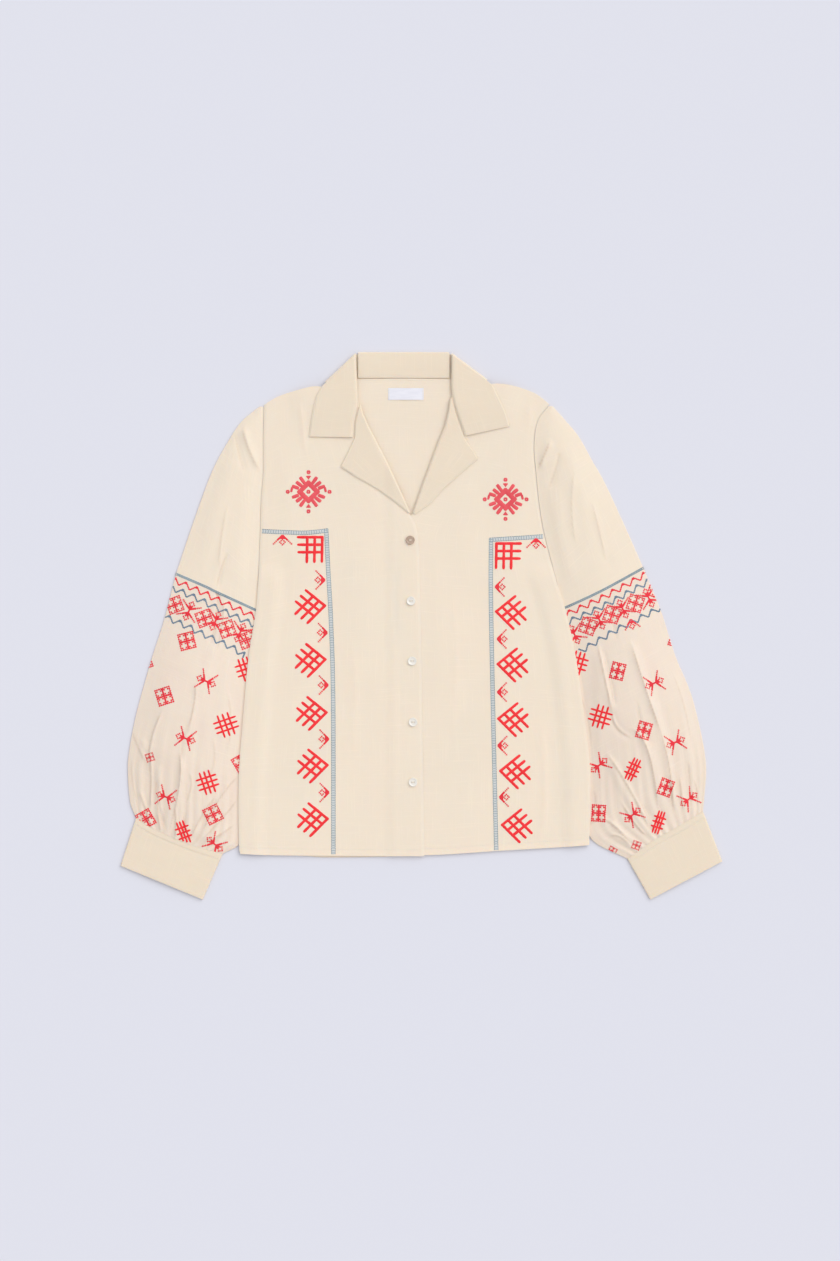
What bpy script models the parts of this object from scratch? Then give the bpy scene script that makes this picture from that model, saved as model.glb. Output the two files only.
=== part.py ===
# An embroidered blouse laid flat, face up, on a table.
# X runs to the right across the garment, Y runs up towards its collar, Z rises off the table.
# Sizes are in millimetres here and in metres in the meshes.
# "Right" and "left" in names are the wearer's, so the right side lies at negative X.

import math

import bpy
import numpy as np

MM = 0.001

# Cloth
WALL = 1.2
GAP = 0.3
COLLAR_WALL = 1.6
CUFF_WALL = 1.7
CUFF_SLIT = 0.6
SEAM_HALF = 0.15

# Body
UNDERARM_Y = 55.0
LIFT_START_Y = 88.0
SLEEVE_TUCK = 8.0
SIDE_LIFT = 2 * WALL + 2 * GAP
SIDE_RAMP = 30.0
LIFT_EASE = 0.9
FLAP_GAP = 0.7
PILLOW = 0.9
PILLOW_RAMP = 45.0
OVERLAP_STEP = WALL + GAP
UNDER_EDGE_X = -30.0
OVERLAP_RAMP = 16.0

# Rows down the garment, shared by the panels that meet at the armholes.
ARMHOLE_ROWS = 9
SIDE_ROWS = 11
NECK_ROWS = 7
BACK_COLUMNS = (0.0, 0.012, 0.025, 0.045, 0.07, 0.095, 0.15, 0.23, 0.32, 0.41, 0.5)
FRONT_COLUMNS = (0.0, 0.022, 0.045, 0.085, 0.13, 0.19, 0.29, 0.42, 0.56, 0.68)
OVERLAP_COLUMNS = (0.77, 0.80, 0.835, 0.87, 0.93, 1.0)
PLAIN_COLUMNS = (0.79, 0.9, 1.0)
TUCKED_ROWS = 4
LOWER_ROWS = 13
LOWER_TOPS = 44
ARMHOLE_GAP = 0.35
COVER_MARGIN = 2.0
END_CROWDING = 0.09

# Sleeves
UPPER_ARCH = 6.5
BAND_ARCH = 6.0
PUFF_ARCH = 15.0
GATHERED_ARCH = 6.0
GATHER_HEIGHT = 2.0
GATHER_COUNT = 12
GATHER_REACH = 0.55
NO_GATHERS = 2.0
CUFF_ARCH = 1.4

# Buttons
BUTTON_RADIUS = 6.0
BUTTON_THICK = 2.2
BUTTON_DISH = 0.5
BUTTON_HOLE_RADIUS = 0.8
BUTTON_HOLE_OFFSET = 1.5
BUTTON_SIDES = 16

# Plan of the garment, x and y in millimetres.
ARMHOLE_RIGHT = [(-214, 300), (-215, 253), (-215, 209), (-218, 170), (-219, 130), (-222, 55)]
SIDE_RIGHT = [(-222, 55), (-225, 19), (-235, -44), (-242, -121), (-248, -203), (-248, -293), (-246, -310)]
ARMHOLE_LEFT = [(174, 301), (158, 278), (153, 245), (156, 205), (160, 166), (167, 125), (185, 55)]
SIDE_LEFT = [(185, 55), (195, 24), (209, -38), (222, -128), (229, -192), (229, -251), (228, -298)]
SHOULDER_RIGHT = [(-214, 300), (-196, 311), (-172, 319), (-148, 325), (-128, 325), (-97, 331)]
SHOULDER_LEFT = [(51, 334), (84, 328), (104, 329), (125, 326), (154, 316), (174, 301)]
BACK_NECK = [(-88, 335), (-29, 336), (38, 335)]
HEM_BACK = [(-246, -310), (-160, -313), (-124, -315), (-22, -313), (103, -306), (228, -298)]
HEM_FRONT_RIGHT = [(-246, -310), (-192, -312), (-60, -313), (4, -313)]
HEM_FRONT_LEFT = [(-30, -312), (27, -311), (103, -306), (188, -301), (228, -298)]
NECK_EDGE_RIGHT = [(-97, 331), (-87, 316), (-83, 293), (-66, 257), (-43, 211), (-26, 173), (-16, 152)]
FRONT_EDGE_RIGHT = [(-16, 152), (-7, 134), (-3, 89), (1, -101), (4, -313)]
NECK_EDGE_LEFT = [(51, 334), (42, 322), (41, 312), (35, 274), (18, 232), (1, 186), (-10, 155)]
FRONT_EDGE_LEFT = [(-10, 155), (-26, 132), (-30, 89), (-30, -101), (-30, -312)]

# Sleeve outlines: the outer fold and the inner fold, from the top down.
UPPER_OUTER_RIGHT = [(-220, 298), (-228, 292), (-246, 276), (-262, 252), (-285, 209), (-309, 144), (-334, 70)]
UPPER_OUTER_LEFT = [(179, 298), (195, 280), (214, 257), (232, 225), (250, 193), (280, 128), (302, 78)]
BAND_SEAM_RIGHT = [(-334, 70), (-292, 52), (-278, 45), (-217, 17)]
BAND_SEAM_LEFT = [(302, 78), (243, 46), (187, 20)]
LOWER_OUTER_RIGHT = [(-334, 70), (-349, 11), (-368, -49), (-388, -121), (-398, -175), (-399, -203),
                     (-396, -240), (-388, -261)]
LOWER_INNER_RIGHT = [(-217, 17), (-227, -44), (-234, -121), (-240, -203), (-242, -264), (-247, -296),
                     (-270, -310)]
LOWER_OUTER_LEFT = [(302, 78), (326, 19), (345, -40), (366, -91), (380, -145), (387, -190), (385, -229),
                    (383, -252)]
LOWER_INNER_LEFT = [(187, 20), (201, -38), (214, -128), (221, -192), (221, -251), (232, -291), (280, -317)]
CUFF_SEAM_RIGHT = [(-388, -261), (-364, -276), (-312, -298), (-270, -310)]
CUFF_SEAM_LEFT = [(383, -252), (346, -274), (316, -291), (280, -317)]
CUFF_END_RIGHT = [(-409, -326), (-297, -372)]
CUFF_END_LEFT = [(409, -320), (311, -372)]

# Lapels: the roll line, and the seam or edge that faces it across the lapel.
LAPEL_COLUMNS = ("roll_x", "roll_y", "edge_x", "edge_y")
LAPEL_RIGHT = [
    (-82, 300, -85, 297),
    (-79, 288, -90, 276),
    (-72, 272, -91, 255),
    (-66, 261, -100, 236),
    (-58, 245, -110, 216),
    (-46, 222, -89, 202),
    (-34, 196, -60, 185),
    (-24, 174, -35, 167),
    (-15, 154, -18, 153),
]
LAPEL_LEFT = [
    (39, 310, 42, 304),
    (37, 293, 50, 277),
    (32, 272, 58, 256),
    (28, 262, 67, 242),
    (21, 245, 77, 227),
    (11, 218, 53, 206),
    (2, 194, 26, 181),
    (-5, 174, 12, 165),
    (-10, 158, 3, 151),
]

# Collar: the roll line or gorge seam, and the outer edge, row by row from the right leaf
# round under the back neck to the left leaf. "side" is 1 on a leaf and 0 under the back.
COLLAR_COLUMNS = ("roll_x", "roll_y", "edge_x", "edge_y", "side")
COLLAR_ROWS = [
    (-93, 256, -153, 257, 1),
    (-91, 277, -149, 285, 1),
    (-87, 298, -144, 308, 1),
    (-87, 322, -139, 319, 1),
    (-88, 345, -135, 325, 1),
    (-89, 367, -131, 329, 1),
    (-87, 369, -127, 330, 0),
    (-70, 370, -100, 322, 0),
    (-45, 370, -60, 318, 0),
    (-24, 370, -24, 317, 0),
    (0, 370, 15, 318, 0),
    (24, 370, 58, 322, 0),
    (39, 369, 86, 333, 0),
    (41, 367, 90, 332, 1),
    (41, 345, 97, 326, 1),
    (41, 322, 102, 316, 1),
    (45, 300, 108, 304, 1),
    (52, 278, 115, 288, 1),
    (59, 258, 120, 271, 1),
]
COLLAR_PUFF = 1.6
FLAP_POINTS = 7
FOLD_REACH = 3.0
FOLD_OUTWARD = ((-0.68, 0.74), (0.62, 0.78))
COLLAR_FALL_EDGE_Y = 316.0
NECK_LIFT_RAMP = 60.0
STAND_X = (-86.0, 38.0)
STAND_SEAM_Y = 336.8
STAND_ROLL_Y = 372.0

LABEL = (-45.0, 307.0, 3.0, 323.0)
LABEL_THICK = 0.5
BUTTONS = [("button_1", -15, 116), ("button_2", -14, 34), ("button_3", -12, -48), ("button_4", -11, -131),
           ("button_5", -11, -213)]

# Soft folds: start, middle and end of the crest, half width and height; a negative height is a trough.
FOLD_COLUMNS = ("x0", "y0", "x1", "y1", "x2", "y2", "width", "height")
FRONT_FOLDS = [
    (148, 300, 145, 262, 148, 205, 8, 1.6),
    (60, 150, 52, 20, 50, -160, 26, 1.3),
    (120, 120, 112, -20, 118, -260, 24, 1.2),
    (-90, 140, -84, 20, -80, -150, 28, 1.2),
    (-150, 120, -160, 0, -164, -220, 26, 1.3),
    (-190, 240, -180, 150, -185, 80, 16, 1.0),
    (188, 30, 196, -120, 200, -270, 14, 1.2),
    (-212, 60, -214, -100, -220, -270, 14, 1.2),
    (20, 100, 24, 0, 20, -120, 12, 0.8),
]
SLEEVE_FOLDS_RIGHT = [
    (-243, 272, -234, 245, -219, 210, 6, 2.2),
    (-255, 230, -275, 170, -300, 95, 12, 1.6),
    (-236, 190, -245, 120, -250, 50, 11, 1.8),
    (-262, 150, -280, 100, -290, 62, 8, -1.0),
    (-280, -20, -290, -60, -306, -100, 9, 3.0),
    (-280, 52, -279, 20, -280, -30, 5, 1.8),
    (-340, -60, -352, -130, -360, -200, 14, 2.4),
    (-370, -187, -370, -229, -379, -256, 6, -2.6),
    (-355, -188, -357, -225, -356, -262, 5, 2.6),
    (-326, -180, -327, -215, -345, -259, 6, 3.0),
    (-259, -203, -283, -245, -308, -282, 6, -2.4),
    (-250, -199, -280, -252, -310, -287, 6, 2.6),
    (-248, -265, -275, -282, -306, -290, 6, 2.2),
    (-392, -144, -380, -158, -372, -173, 5, 2.0),
    (-300, -110, -306, -180, -320, -250, 8, -2.2),
    (-262, -40, -268, -110, -262, -170, 10, 2.6),
]
SLEEVE_FOLDS_LEFT = [
    (176, 253, 168, 232, 158, 213, 6, 2.4),
    (196, 250, 215, 190, 238, 110, 12, 1.6),
    (180, 190, 190, 120, 208, 50, 11, 1.8),
    (222, 160, 245, 110, 262, 70, 8, -1.0),
    (255, -101, 265, -138, 292, -150, 6, -2.4),
    (292, -150, 312, -180, 327, -256, 6, 3.0),
    (309, -101, 327, -152, 343, -270, 6, 2.8),
    (251, -174, 280, -235, 312, -288, 6, 2.6),
    (255, -265, 270, -284, 290, -298, 5, 2.2),
    (380, -203, 376, -230, 373, -251, 5, -2.4),
    (237, -26, 248, -84, 265, -128, 8, 2.8),
    (284, -19, 300, -67, 319, -127, 8, 2.8),
    (345, -60, 358, -120, 362, -200, 12, 2.6),
    (300, -40, 325, -110, 345, -180, 9, -2.0),
    (235, -60, 240, -120, 238, -190, 9, 2.2),
]

CREAM = (0.89, 0.78, 0.62, 1.0)
CREAM_PINK = (0.88, 0.76, 0.63, 1.0)
WHITE = (0.90, 0.90, 0.92, 1.0)
SHELL = (0.86, 0.82, 0.74, 1.0)


def smoothstep(value):
    clipped = np.clip(value, 0.0, 1.0)
    return clipped * clipped * (3.0 - 2.0 * clipped)


def curve(points, count):
    """Points spaced evenly along a smooth curve through the given ones."""
    knots = np.array(points, float)
    padded = np.vstack([2 * knots[0] - knots[1], knots, 2 * knots[-1] - knots[-2]])
    dense = []
    for i in range(1, len(padded) - 2):
        a, b, c, d = padded[i - 1:i + 3]
        for t in np.linspace(0.0, 1.0, 16, endpoint=False):
            tangent_b = 0.5 * (c - a)
            tangent_c = 0.5 * (d - b)
            h00 = 2 * t ** 3 - 3 * t ** 2 + 1
            h10 = t ** 3 - 2 * t ** 2 + t
            h01 = -2 * t ** 3 + 3 * t ** 2
            h11 = t ** 3 - t ** 2
            dense.append(h00 * b + h10 * tangent_b + h01 * c + h11 * tangent_c)
    dense.append(knots[-1])
    return spaced(np.array(dense), count)


def spaced(line, count):
    """The same line, resampled at even steps of its length."""
    return at_shares(line, np.linspace(0.0, 1.0, count))


def at_shares(line, shares):
    """Points at the given shares of a line's length."""
    steps = np.hypot(*np.diff(line, axis=0).T)
    length = np.concatenate([[0.0], np.cumsum(steps)])
    at = np.asarray(shares) * length[-1]
    return np.column_stack([np.interp(at, length, line[:, k]) for k in range(2)])


def two_stretches(first, second, first_rows, second_rows):
    """Rows down two stretches that share the point where they meet."""
    return np.vstack([curve(first, first_rows), curve(second, second_rows)[1:]])


def joined(*curves):
    """One line of several smooth stretches that meet at corners."""
    parts = [curve(points, 60) for points in curves]
    return np.vstack([parts[0]] + [part[1:] for part in parts[1:]])


def coons(top, bottom, left, right, shares=None):
    """A grid filled in between four edges: rows run from top to bottom."""
    rows, columns = len(left), len(top)
    if shares is None:
        shares = np.linspace(0.0, 1.0, columns)
    u = np.asarray(shares)[None, :, None]
    v = np.linspace(0.0, 1.0, rows)[:, None, None]
    across = (1 - v) * top[None] + v * bottom[None]
    down = (1 - u) * left[:, None] + u * right[:, None]
    corners = ((1 - u) * (1 - v) * top[0] + u * (1 - v) * top[-1]
               + (1 - u) * v * bottom[0] + u * v * bottom[-1])
    return across + down - corners


def side_line(armhole, side):
    """The body's side as x for each y."""
    line = two_stretches(armhole, side, ARMHOLE_ROWS, SIDE_ROWS)[::-1]
    return lambda y: np.interp(y, line[:, 1], line[:, 0])


SIDE_X_RIGHT = side_line(ARMHOLE_RIGHT, SIDE_RIGHT)
SIDE_X_LEFT = side_line(ARMHOLE_LEFT, SIDE_LEFT)


def inside_right(x, y):
    """How far a point lies inside the body's right side."""
    return x - SIDE_X_RIGHT(y)


def inside_left(x, y):
    return SIDE_X_LEFT(y) - x


def fold_height(x, y, rows):
    """Ridges and troughs along short curved crests, fading out at their ends."""
    total = np.zeros_like(x, dtype=float)
    for row in rows:
        fold = dict(zip(FOLD_COLUMNS, row))
        start = np.array([fold["x0"], fold["y0"]], float)
        middle = np.array([fold["x1"], fold["y1"]], float)
        end = np.array([fold["x2"], fold["y2"]], float)
        nearest = np.full(x.shape, 1e9)
        along = np.zeros(x.shape)
        for t in np.linspace(0.0, 1.0, 25):
            spot = (1 - t) ** 2 * start + 2 * t * (1 - t) * (2 * middle - 0.5 * (start + end)) + t * t * end
            distance = np.hypot(x - spot[0], y - spot[1])
            closer = distance < nearest
            nearest = np.where(closer, distance, nearest)
            along = np.where(closer, t, along)
        ends = smoothstep(np.minimum(along, 1.0 - along) * 4.0 + 0.15)
        total += fold["height"] * ends * np.exp(-(nearest / fold["width"]) ** 2)
    return total


def side_lift(inside, y):
    """How far the body's side is raised by the sleeve edge tucked under it."""
    start = smoothstep((LIFT_START_Y - y) / (LIFT_START_Y - UNDERARM_Y))
    return SIDE_LIFT * start * smoothstep(1.0 - (inside - SLEEVE_TUCK - 3.0) / SIDE_RAMP)


def back_bottom(x, y):
    """Underside of the back: on the table, but over the tucked sleeves and the collar."""
    lift = np.maximum(side_lift(inside_right(x, y), y), side_lift(inside_left(x, y), y))
    over_collar = (COLLAR_WALL + GAP) * smoothstep(1.0 + (y - COLLAR_FALL_EDGE_Y + 3.0) / NECK_LIFT_RAMP)
    over_collar = over_collar * smoothstep((x + 185.0) / 30.0) * smoothstep((140.0 - x) / 30.0)
    return np.maximum(lift, over_collar)


def front_bottom(x, y):
    """Underside of the fronts: clear of the back, with air and soft folds between."""
    inside = np.minimum(inside_right(x, y), inside_left(x, y))
    fade = smoothstep(inside / PILLOW_RAMP)
    air = fade * (PILLOW + np.clip(fold_height(x, y, FRONT_FOLDS), -PILLOW, 9.0))
    rise = np.clip(back_bottom(x, y) / SIDE_LIFT, 0.0, 1.0)
    ease = LIFT_EASE * 4.0 * rise * (1.0 - rise) * smoothstep(inside / 4.0)
    return back_bottom(x, y) + WALL + GAP + air + ease


def front_right_bottom(x, y):
    """The right front also climbs over the edge of the left front at the centre."""
    step = OVERLAP_STEP * smoothstep(1.0 - (UNDER_EDGE_X - 5.0 - x) / OVERLAP_RAMP)
    return front_bottom(x, y) + step


def make_material(name, colour, roughness):
    material = bpy.data.materials.new(name)
    material.use_nodes = True
    shader = material.node_tree.nodes["Principled BSDF"]
    shader.inputs["Base Color"].default_value = colour
    shader.inputs["Roughness"].default_value = roughness
    shader.inputs["Metallic"].default_value = 0.0
    return material


def add_object(name, points, faces, material, smooth=True):
    mesh = bpy.data.meshes.new(name)
    mesh.from_pydata([tuple(float(c) * MM for c in p) for p in points], [], faces)
    mesh.materials.append(material)
    if smooth:
        mesh.shade_smooth()
        mesh.set_sharp_from_angle(angle=math.radians(50))
    mesh.validate()
    made = bpy.data.objects.new(name, mesh)
    bpy.context.collection.objects.link(made)
    return made


def closed_sheet(name, plan, top, wall, material):
    """A wall of even thickness under a grid of points."""
    rows, columns = plan.shape[:2]
    upper = np.dstack([plan, top]).reshape(-1, 3)
    lower = np.dstack([plan, top - wall]).reshape(-1, 3)
    return grid_solid(name, upper, lower, rows, columns, material)


def grid_solid(name, upper, lower, rows, columns, material):
    count = rows * columns
    points = np.vstack([upper, lower])
    faces = []
    for i in range(rows - 1):
        for j in range(columns - 1):
            a = i * columns + j
            b, c, d = a + 1, a + columns + 1, a + columns
            faces.append((a, d, c, b))
            faces.append((a + count, b + count, c + count, d + count))
    rim = [j for j in range(columns)]
    rim += [i * columns + columns - 1 for i in range(1, rows)]
    rim += [(rows - 1) * columns + j for j in range(columns - 2, -1, -1)]
    rim += [i * columns for i in range(rows - 2, 0, -1)]
    for k, a in enumerate(rim):
        b = rim[(k + 1) % len(rim)]
        faces.append((a, b, b + count, a + count))
    made = add_object(name, points, faces, material)
    face_outwards(made)
    return made


def face_outwards(made):
    """Turn the faces round if the signed volume is negative."""
    mesh = made.data
    volume = 0.0
    for face in mesh.polygons:
        corners = [mesh.vertices[v].co for v in face.vertices]
        for k in range(1, len(corners) - 1):
            volume += corners[0].dot(corners[k].cross(corners[k + 1]))
    if volume < 0.0:
        mesh.flip_normals()


def ring_solid(name, outer, inner, material, closed=True):
    """A tube, or a sheet folded like one, between rows of outer and inner section points."""
    rows, around = outer.shape[:2]
    if not closed:
        upper = outer.reshape(-1, 3)
        lower = inner.reshape(-1, 3)
        return grid_solid(name, upper, lower, rows, around, material)
    count = rows * around
    points = np.vstack([outer.reshape(-1, 3), inner.reshape(-1, 3)])
    faces = []
    for i in range(rows - 1):
        for j in range(around):
            a = i * around + j
            b = i * around + (j + 1) % around
            c, d = b + around, a + around
            faces.append((a, b, c, d))
            faces.append((a + count, d + count, c + count, b + count))
    for i in (0, rows - 1):
        for j in range(around):
            a = i * around + j
            b = i * around + (j + 1) % around
            rim = (a, a + count, b + count, b)
            faces.append(rim if i == 0 else rim[::-1])
    made = add_object(name, points, faces, material)
    face_outwards(made)
    return made


def section(start, end, heights, spots, wall, slit, bottom_count, closed, outer_extra):
    """One flattened section: outer and inner points over the top, round the folds and back below.

    start and end are the plan points of the outer and inner folds, spots are the fractions across
    where the top has points, heights are the arch there, outer_extra raises the outside alone.
    """
    radius = wall + slit / 2
    small = slit / 2
    span = end - start
    width = np.hypot(*span)
    across = span / width
    turns = (0.0, 45.0)
    outer, inner = [], []

    def add(distance_out, z_out, distance_in, z_in):
        outer.append((*(start + across * distance_out), z_out))
        inner.append((*(start + across * distance_in), z_in))

    for turn in turns:
        c, s = math.cos(math.radians(turn)), math.sin(math.radians(turn))
        add(radius - radius * c, radius + radius * s, radius - small * c, radius + small * s)
    last = width - radius if closed else width
    for spot, height, extra in zip(spots, heights, outer_extra):
        at = radius + (last - radius) * spot
        add(at, 2 * radius + height + extra, at, 2 * radius + height - wall)
    if closed:
        for turn in turns[::-1]:
            c, s = math.cos(math.radians(turn)), math.sin(math.radians(turn))
            add(width - radius + radius * c, radius + radius * s,
                width - radius + small * c, radius + small * s)
        c, s = math.cos(math.radians(45.0)), math.sin(math.radians(45.0))
        add(width - radius + radius * c, radius - radius * s, width - radius + small * c, radius - small * s)
    for spot in np.linspace(1.0, 0.0, bottom_count):
        at = radius + (last - radius) * spot
        add(at, 0.0, at, wall)
    c, s = math.cos(math.radians(45.0)), math.sin(math.radians(45.0))
    add(radius - radius * c, radius - radius * s, radius - small * c, radius - small * s)
    if not closed:
        outer_array = np.array(outer)
        inner_array = np.array(inner)
        order = list(range(2, 2 + len(spots)))[::-1] + [1, 0, len(outer) - 1]
        order += list(range(len(outer) - 2, 1 + len(spots), -1))
        return outer_array[order], inner_array[order]
    return np.array(outer), np.array(inner)


def arch_profile(x, y, from_outer, from_inner, outside):
    """A soft arch between the outer fold and the body's side or the seam."""
    free = np.minimum(from_inner, np.maximum(outside - COVER_MARGIN, 0.0))
    share = from_outer / np.maximum(from_outer + free, 1e-6)
    return np.sin(np.pi * share) ** 0.85


def gathers(spots, strength):
    """Uneven little pleats across the cuff seam."""
    warped = spots + 0.012 * np.sin(9.0 * spots) + 0.006 * np.sin(23.0 * spots)
    wave = 0.5 - 0.5 * np.cos(2.0 * np.pi * GATHER_COUNT * warped)
    size = 0.75 + 0.25 * np.sin(14.0 * spots + 1.0)
    ends = smoothstep(spots / 0.06) * smoothstep((1.0 - spots) / 0.06)
    return GATHER_HEIGHT * strength * size * wave * ends


def sleeve(name, left, right, seam_top, seam_end, arches, outside, folds, tops, bottoms,
           gather_from, closed, material):
    rows = len(left)
    plan = coons(seam_top, seam_end, left, right)
    even = np.linspace(0.0, 1.0, tops)
    spots = even - END_CROWDING * np.sin(2.0 * np.pi * even)
    outer_rows, inner_rows = [], []
    for i in range(rows):
        t = i / (rows - 1)
        line = plan[i]
        start, end = line[0], line[-1]
        bend = at_shares(line, spots) - (start + spots[:, None] * (end - start))
        width = np.hypot(*(end - start))
        x = start[0] + spots * (end[0] - start[0]) + bend[:, 0]
        y = start[1] + spots * (end[1] - start[1]) + bend[:, 1]
        free = outside(x, y)
        shape = arch_profile(x, y, spots * width, (1.0 - spots) * width, free)
        arch = np.interp(t, np.linspace(0.0, 1.0, len(arches)), arches)
        waves = fold_height(x, y, folds) * smoothstep(shape * 2.0)
        heights = np.maximum(arch * shape + waves, 0.25 * arch * shape)
        extra = gathers(spots, smoothstep((t - gather_from) / GATHER_REACH)) * smoothstep(shape * 3.0)
        outer, inner = section(start, end, heights, spots, WALL, GAP, bottoms, closed, extra)
        for points in (outer, inner):
            share = np.clip((points[:, :2] - start) @ (end - start) / width ** 2, 0.0, 1.0)
            points[:, 0] += np.interp(share, spots, bend[:, 0])
            points[:, 1] += np.interp(share, spots, bend[:, 1])
        outer_rows.append(outer)
        inner_rows.append(inner)
    return ring_solid(name, np.array(outer_rows), np.array(inner_rows), material, closed)


def seam_from(points, shift):
    """A seam line moved a little up or down the sleeve, to leave the gap at the seam."""
    return [(x, y + shift) for x, y in points]


def make_back(material):
    left = two_stretches(ARMHOLE_RIGHT, SIDE_RIGHT, ARMHOLE_ROWS, SIDE_ROWS)
    right = two_stretches(ARMHOLE_LEFT, SIDE_LEFT, ARMHOLE_ROWS, SIDE_ROWS)
    shares = np.array(BACK_COLUMNS + tuple(1.0 - u for u in BACK_COLUMNS[-2::-1]))
    top = joined(SHOULDER_RIGHT[:-1] + [BACK_NECK[0]], BACK_NECK, [BACK_NECK[-1]] + SHOULDER_LEFT[1:])
    bottom = joined(HEM_BACK)
    plan = coons(at_shares(top, shares), at_shares(bottom, shares), left, right, shares)
    height = back_bottom(plan[:, :, 0], plan[:, :, 1]) + WALL
    closed_sheet("back", plan, height, WALL, material)


def make_front(name, left, right, shoulder, hem, shares, bottom_height, material):
    plan = coons(at_shares(curve(shoulder, 80), shares), at_shares(curve(hem, 80), shares),
                 left, right, shares)
    height = bottom_height(plan[:, :, 0], plan[:, :, 1]) + WALL
    closed_sheet(name, plan, height, WALL, material)


def make_fronts(material):
    edge_rows = ARMHOLE_ROWS + SIDE_ROWS - NECK_ROWS
    make_front("front_right", two_stretches(ARMHOLE_RIGHT, SIDE_RIGHT, ARMHOLE_ROWS, SIDE_ROWS),
               two_stretches(NECK_EDGE_RIGHT, FRONT_EDGE_RIGHT, NECK_ROWS, edge_rows),
               SHOULDER_RIGHT, HEM_FRONT_RIGHT, np.array(FRONT_COLUMNS + OVERLAP_COLUMNS), front_right_bottom,
               material)
    from_centre = 1.0 - np.array(FRONT_COLUMNS + PLAIN_COLUMNS)[::-1]
    make_front("front_left", two_stretches(NECK_EDGE_LEFT, FRONT_EDGE_LEFT, NECK_ROWS, edge_rows),
               two_stretches(ARMHOLE_LEFT, SIDE_LEFT, ARMHOLE_ROWS, SIDE_ROWS),
               SHOULDER_LEFT, HEM_FRONT_LEFT, from_centre, front_bottom, material)


def make_lapels(material):
    for name, table, base in (("lapel_right", LAPEL_RIGHT, front_right_bottom),
                              ("lapel_left", LAPEL_LEFT, front_bottom)):
        fine = by_column(refined(np.array(table, float), 2), LAPEL_COLUMNS)
        roll = np.column_stack([fine["roll_x"], fine["roll_y"]])
        edge = np.column_stack([fine["edge_x"], fine["edge_y"]])
        plan, top = flap_grid(roll, edge, FLAP_POINTS, base)
        closed_sheet(name, plan, top, COLLAR_WALL, material)


def by_column(rows, names):
    """A table's columns under their names."""
    return {name: rows[:, k] for k, name in enumerate(names)}


def refined(rows, steps):
    """Rows added evenly between the given ones."""
    at = np.arange(0, (len(rows) - 1) * steps + 1) / steps
    return np.column_stack([np.interp(at, np.arange(len(rows)), rows[:, k]) for k in range(rows.shape[1])])


def flap_grid(roll, edge, columns, base):
    """A flap lying on a front, a little full where it rolls over."""
    spots = np.linspace(0.0, 1.0, columns) ** 1.3
    plan = roll[:, None] + (edge - roll)[:, None] * spots[None, :, None]
    width = np.hypot(*(edge - roll).T)[:, None]
    rest = base(plan[:, :, 0], plan[:, :, 1]) + WALL + FLAP_GAP
    fullness = COLLAR_PUFF * np.minimum(width / 30.0, 1.0)
    puff = fullness * (1.0 - spots[None]) ** 1.5 * smoothstep(0.35 + spots[None] * 6.0)
    return plan, rest + COLLAR_WALL + puff


def collar_fold(before, after, high, outward):
    """Rows round the fold where the collar passes from a leaf to under the back."""
    middle = (before + after) / 2
    rows = []
    for turn in (50.0, 0.0, -50.0):
        c, s = math.cos(math.radians(turn)), math.sin(math.radians(turn))
        outside = np.column_stack([middle + outward * FOLD_REACH * c, high / 2 * (1.0 + s)])
        inside = np.column_stack([middle + outward * (FOLD_REACH - COLLAR_WALL) * c,
                                  high / 2 + (high / 2 - COLLAR_WALL) * s])
        rows.append((outside, inside))
    return rows


def make_collar(material):
    """Leaves on the fronts, joined by a fall that passes under the back of the neck."""
    table = by_column(np.array(COLLAR_ROWS, float), COLLAR_COLUMNS)
    roll = np.column_stack([table["roll_x"], table["roll_y"]])
    edge = np.column_stack([table["edge_x"], table["edge_y"]])
    side = table["side"]
    columns = FLAP_POINTS
    plan, leaf_top = flap_grid(roll, edge, columns, collar_base)
    upper, lower = [], []
    for i in range(len(side)):
        if side[i] > 0.5:
            top_side = np.column_stack([plan[i], leaf_top[i]])
            low_side = np.column_stack([plan[i], leaf_top[i] - COLLAR_WALL])
        else:
            top_side = np.column_stack([plan[i], np.zeros(columns)])
            low_side = np.column_stack([plan[i], np.full(columns, COLLAR_WALL)])
        upper.append(top_side)
        lower.append(low_side)
        if i + 1 < len(side) and side[i] != side[i + 1]:
            leaf_row = i if side[i] > 0.5 else i + 1
            outward = np.array(FOLD_OUTWARD[leaf_row > i])
            turned = collar_fold(plan[i], plan[i + 1], leaf_top[leaf_row], outward)
            for out_point, in_point in turned if side[i] > 0.5 else turned[::-1]:
                upper.append(out_point)
                lower.append(in_point)
    upper = np.array(upper)
    lower = np.array(lower)
    grid_solid("collar", upper.reshape(-1, 3), lower.reshape(-1, 3), len(upper), columns, material)


def collar_base(x, y):
    """What the collar leaves lie on: the fronts, carried on level past their neck edges."""
    return np.where(x < -25.0, front_right_bottom(np.minimum(x, -60.0), y), front_bottom(x, y))


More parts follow.
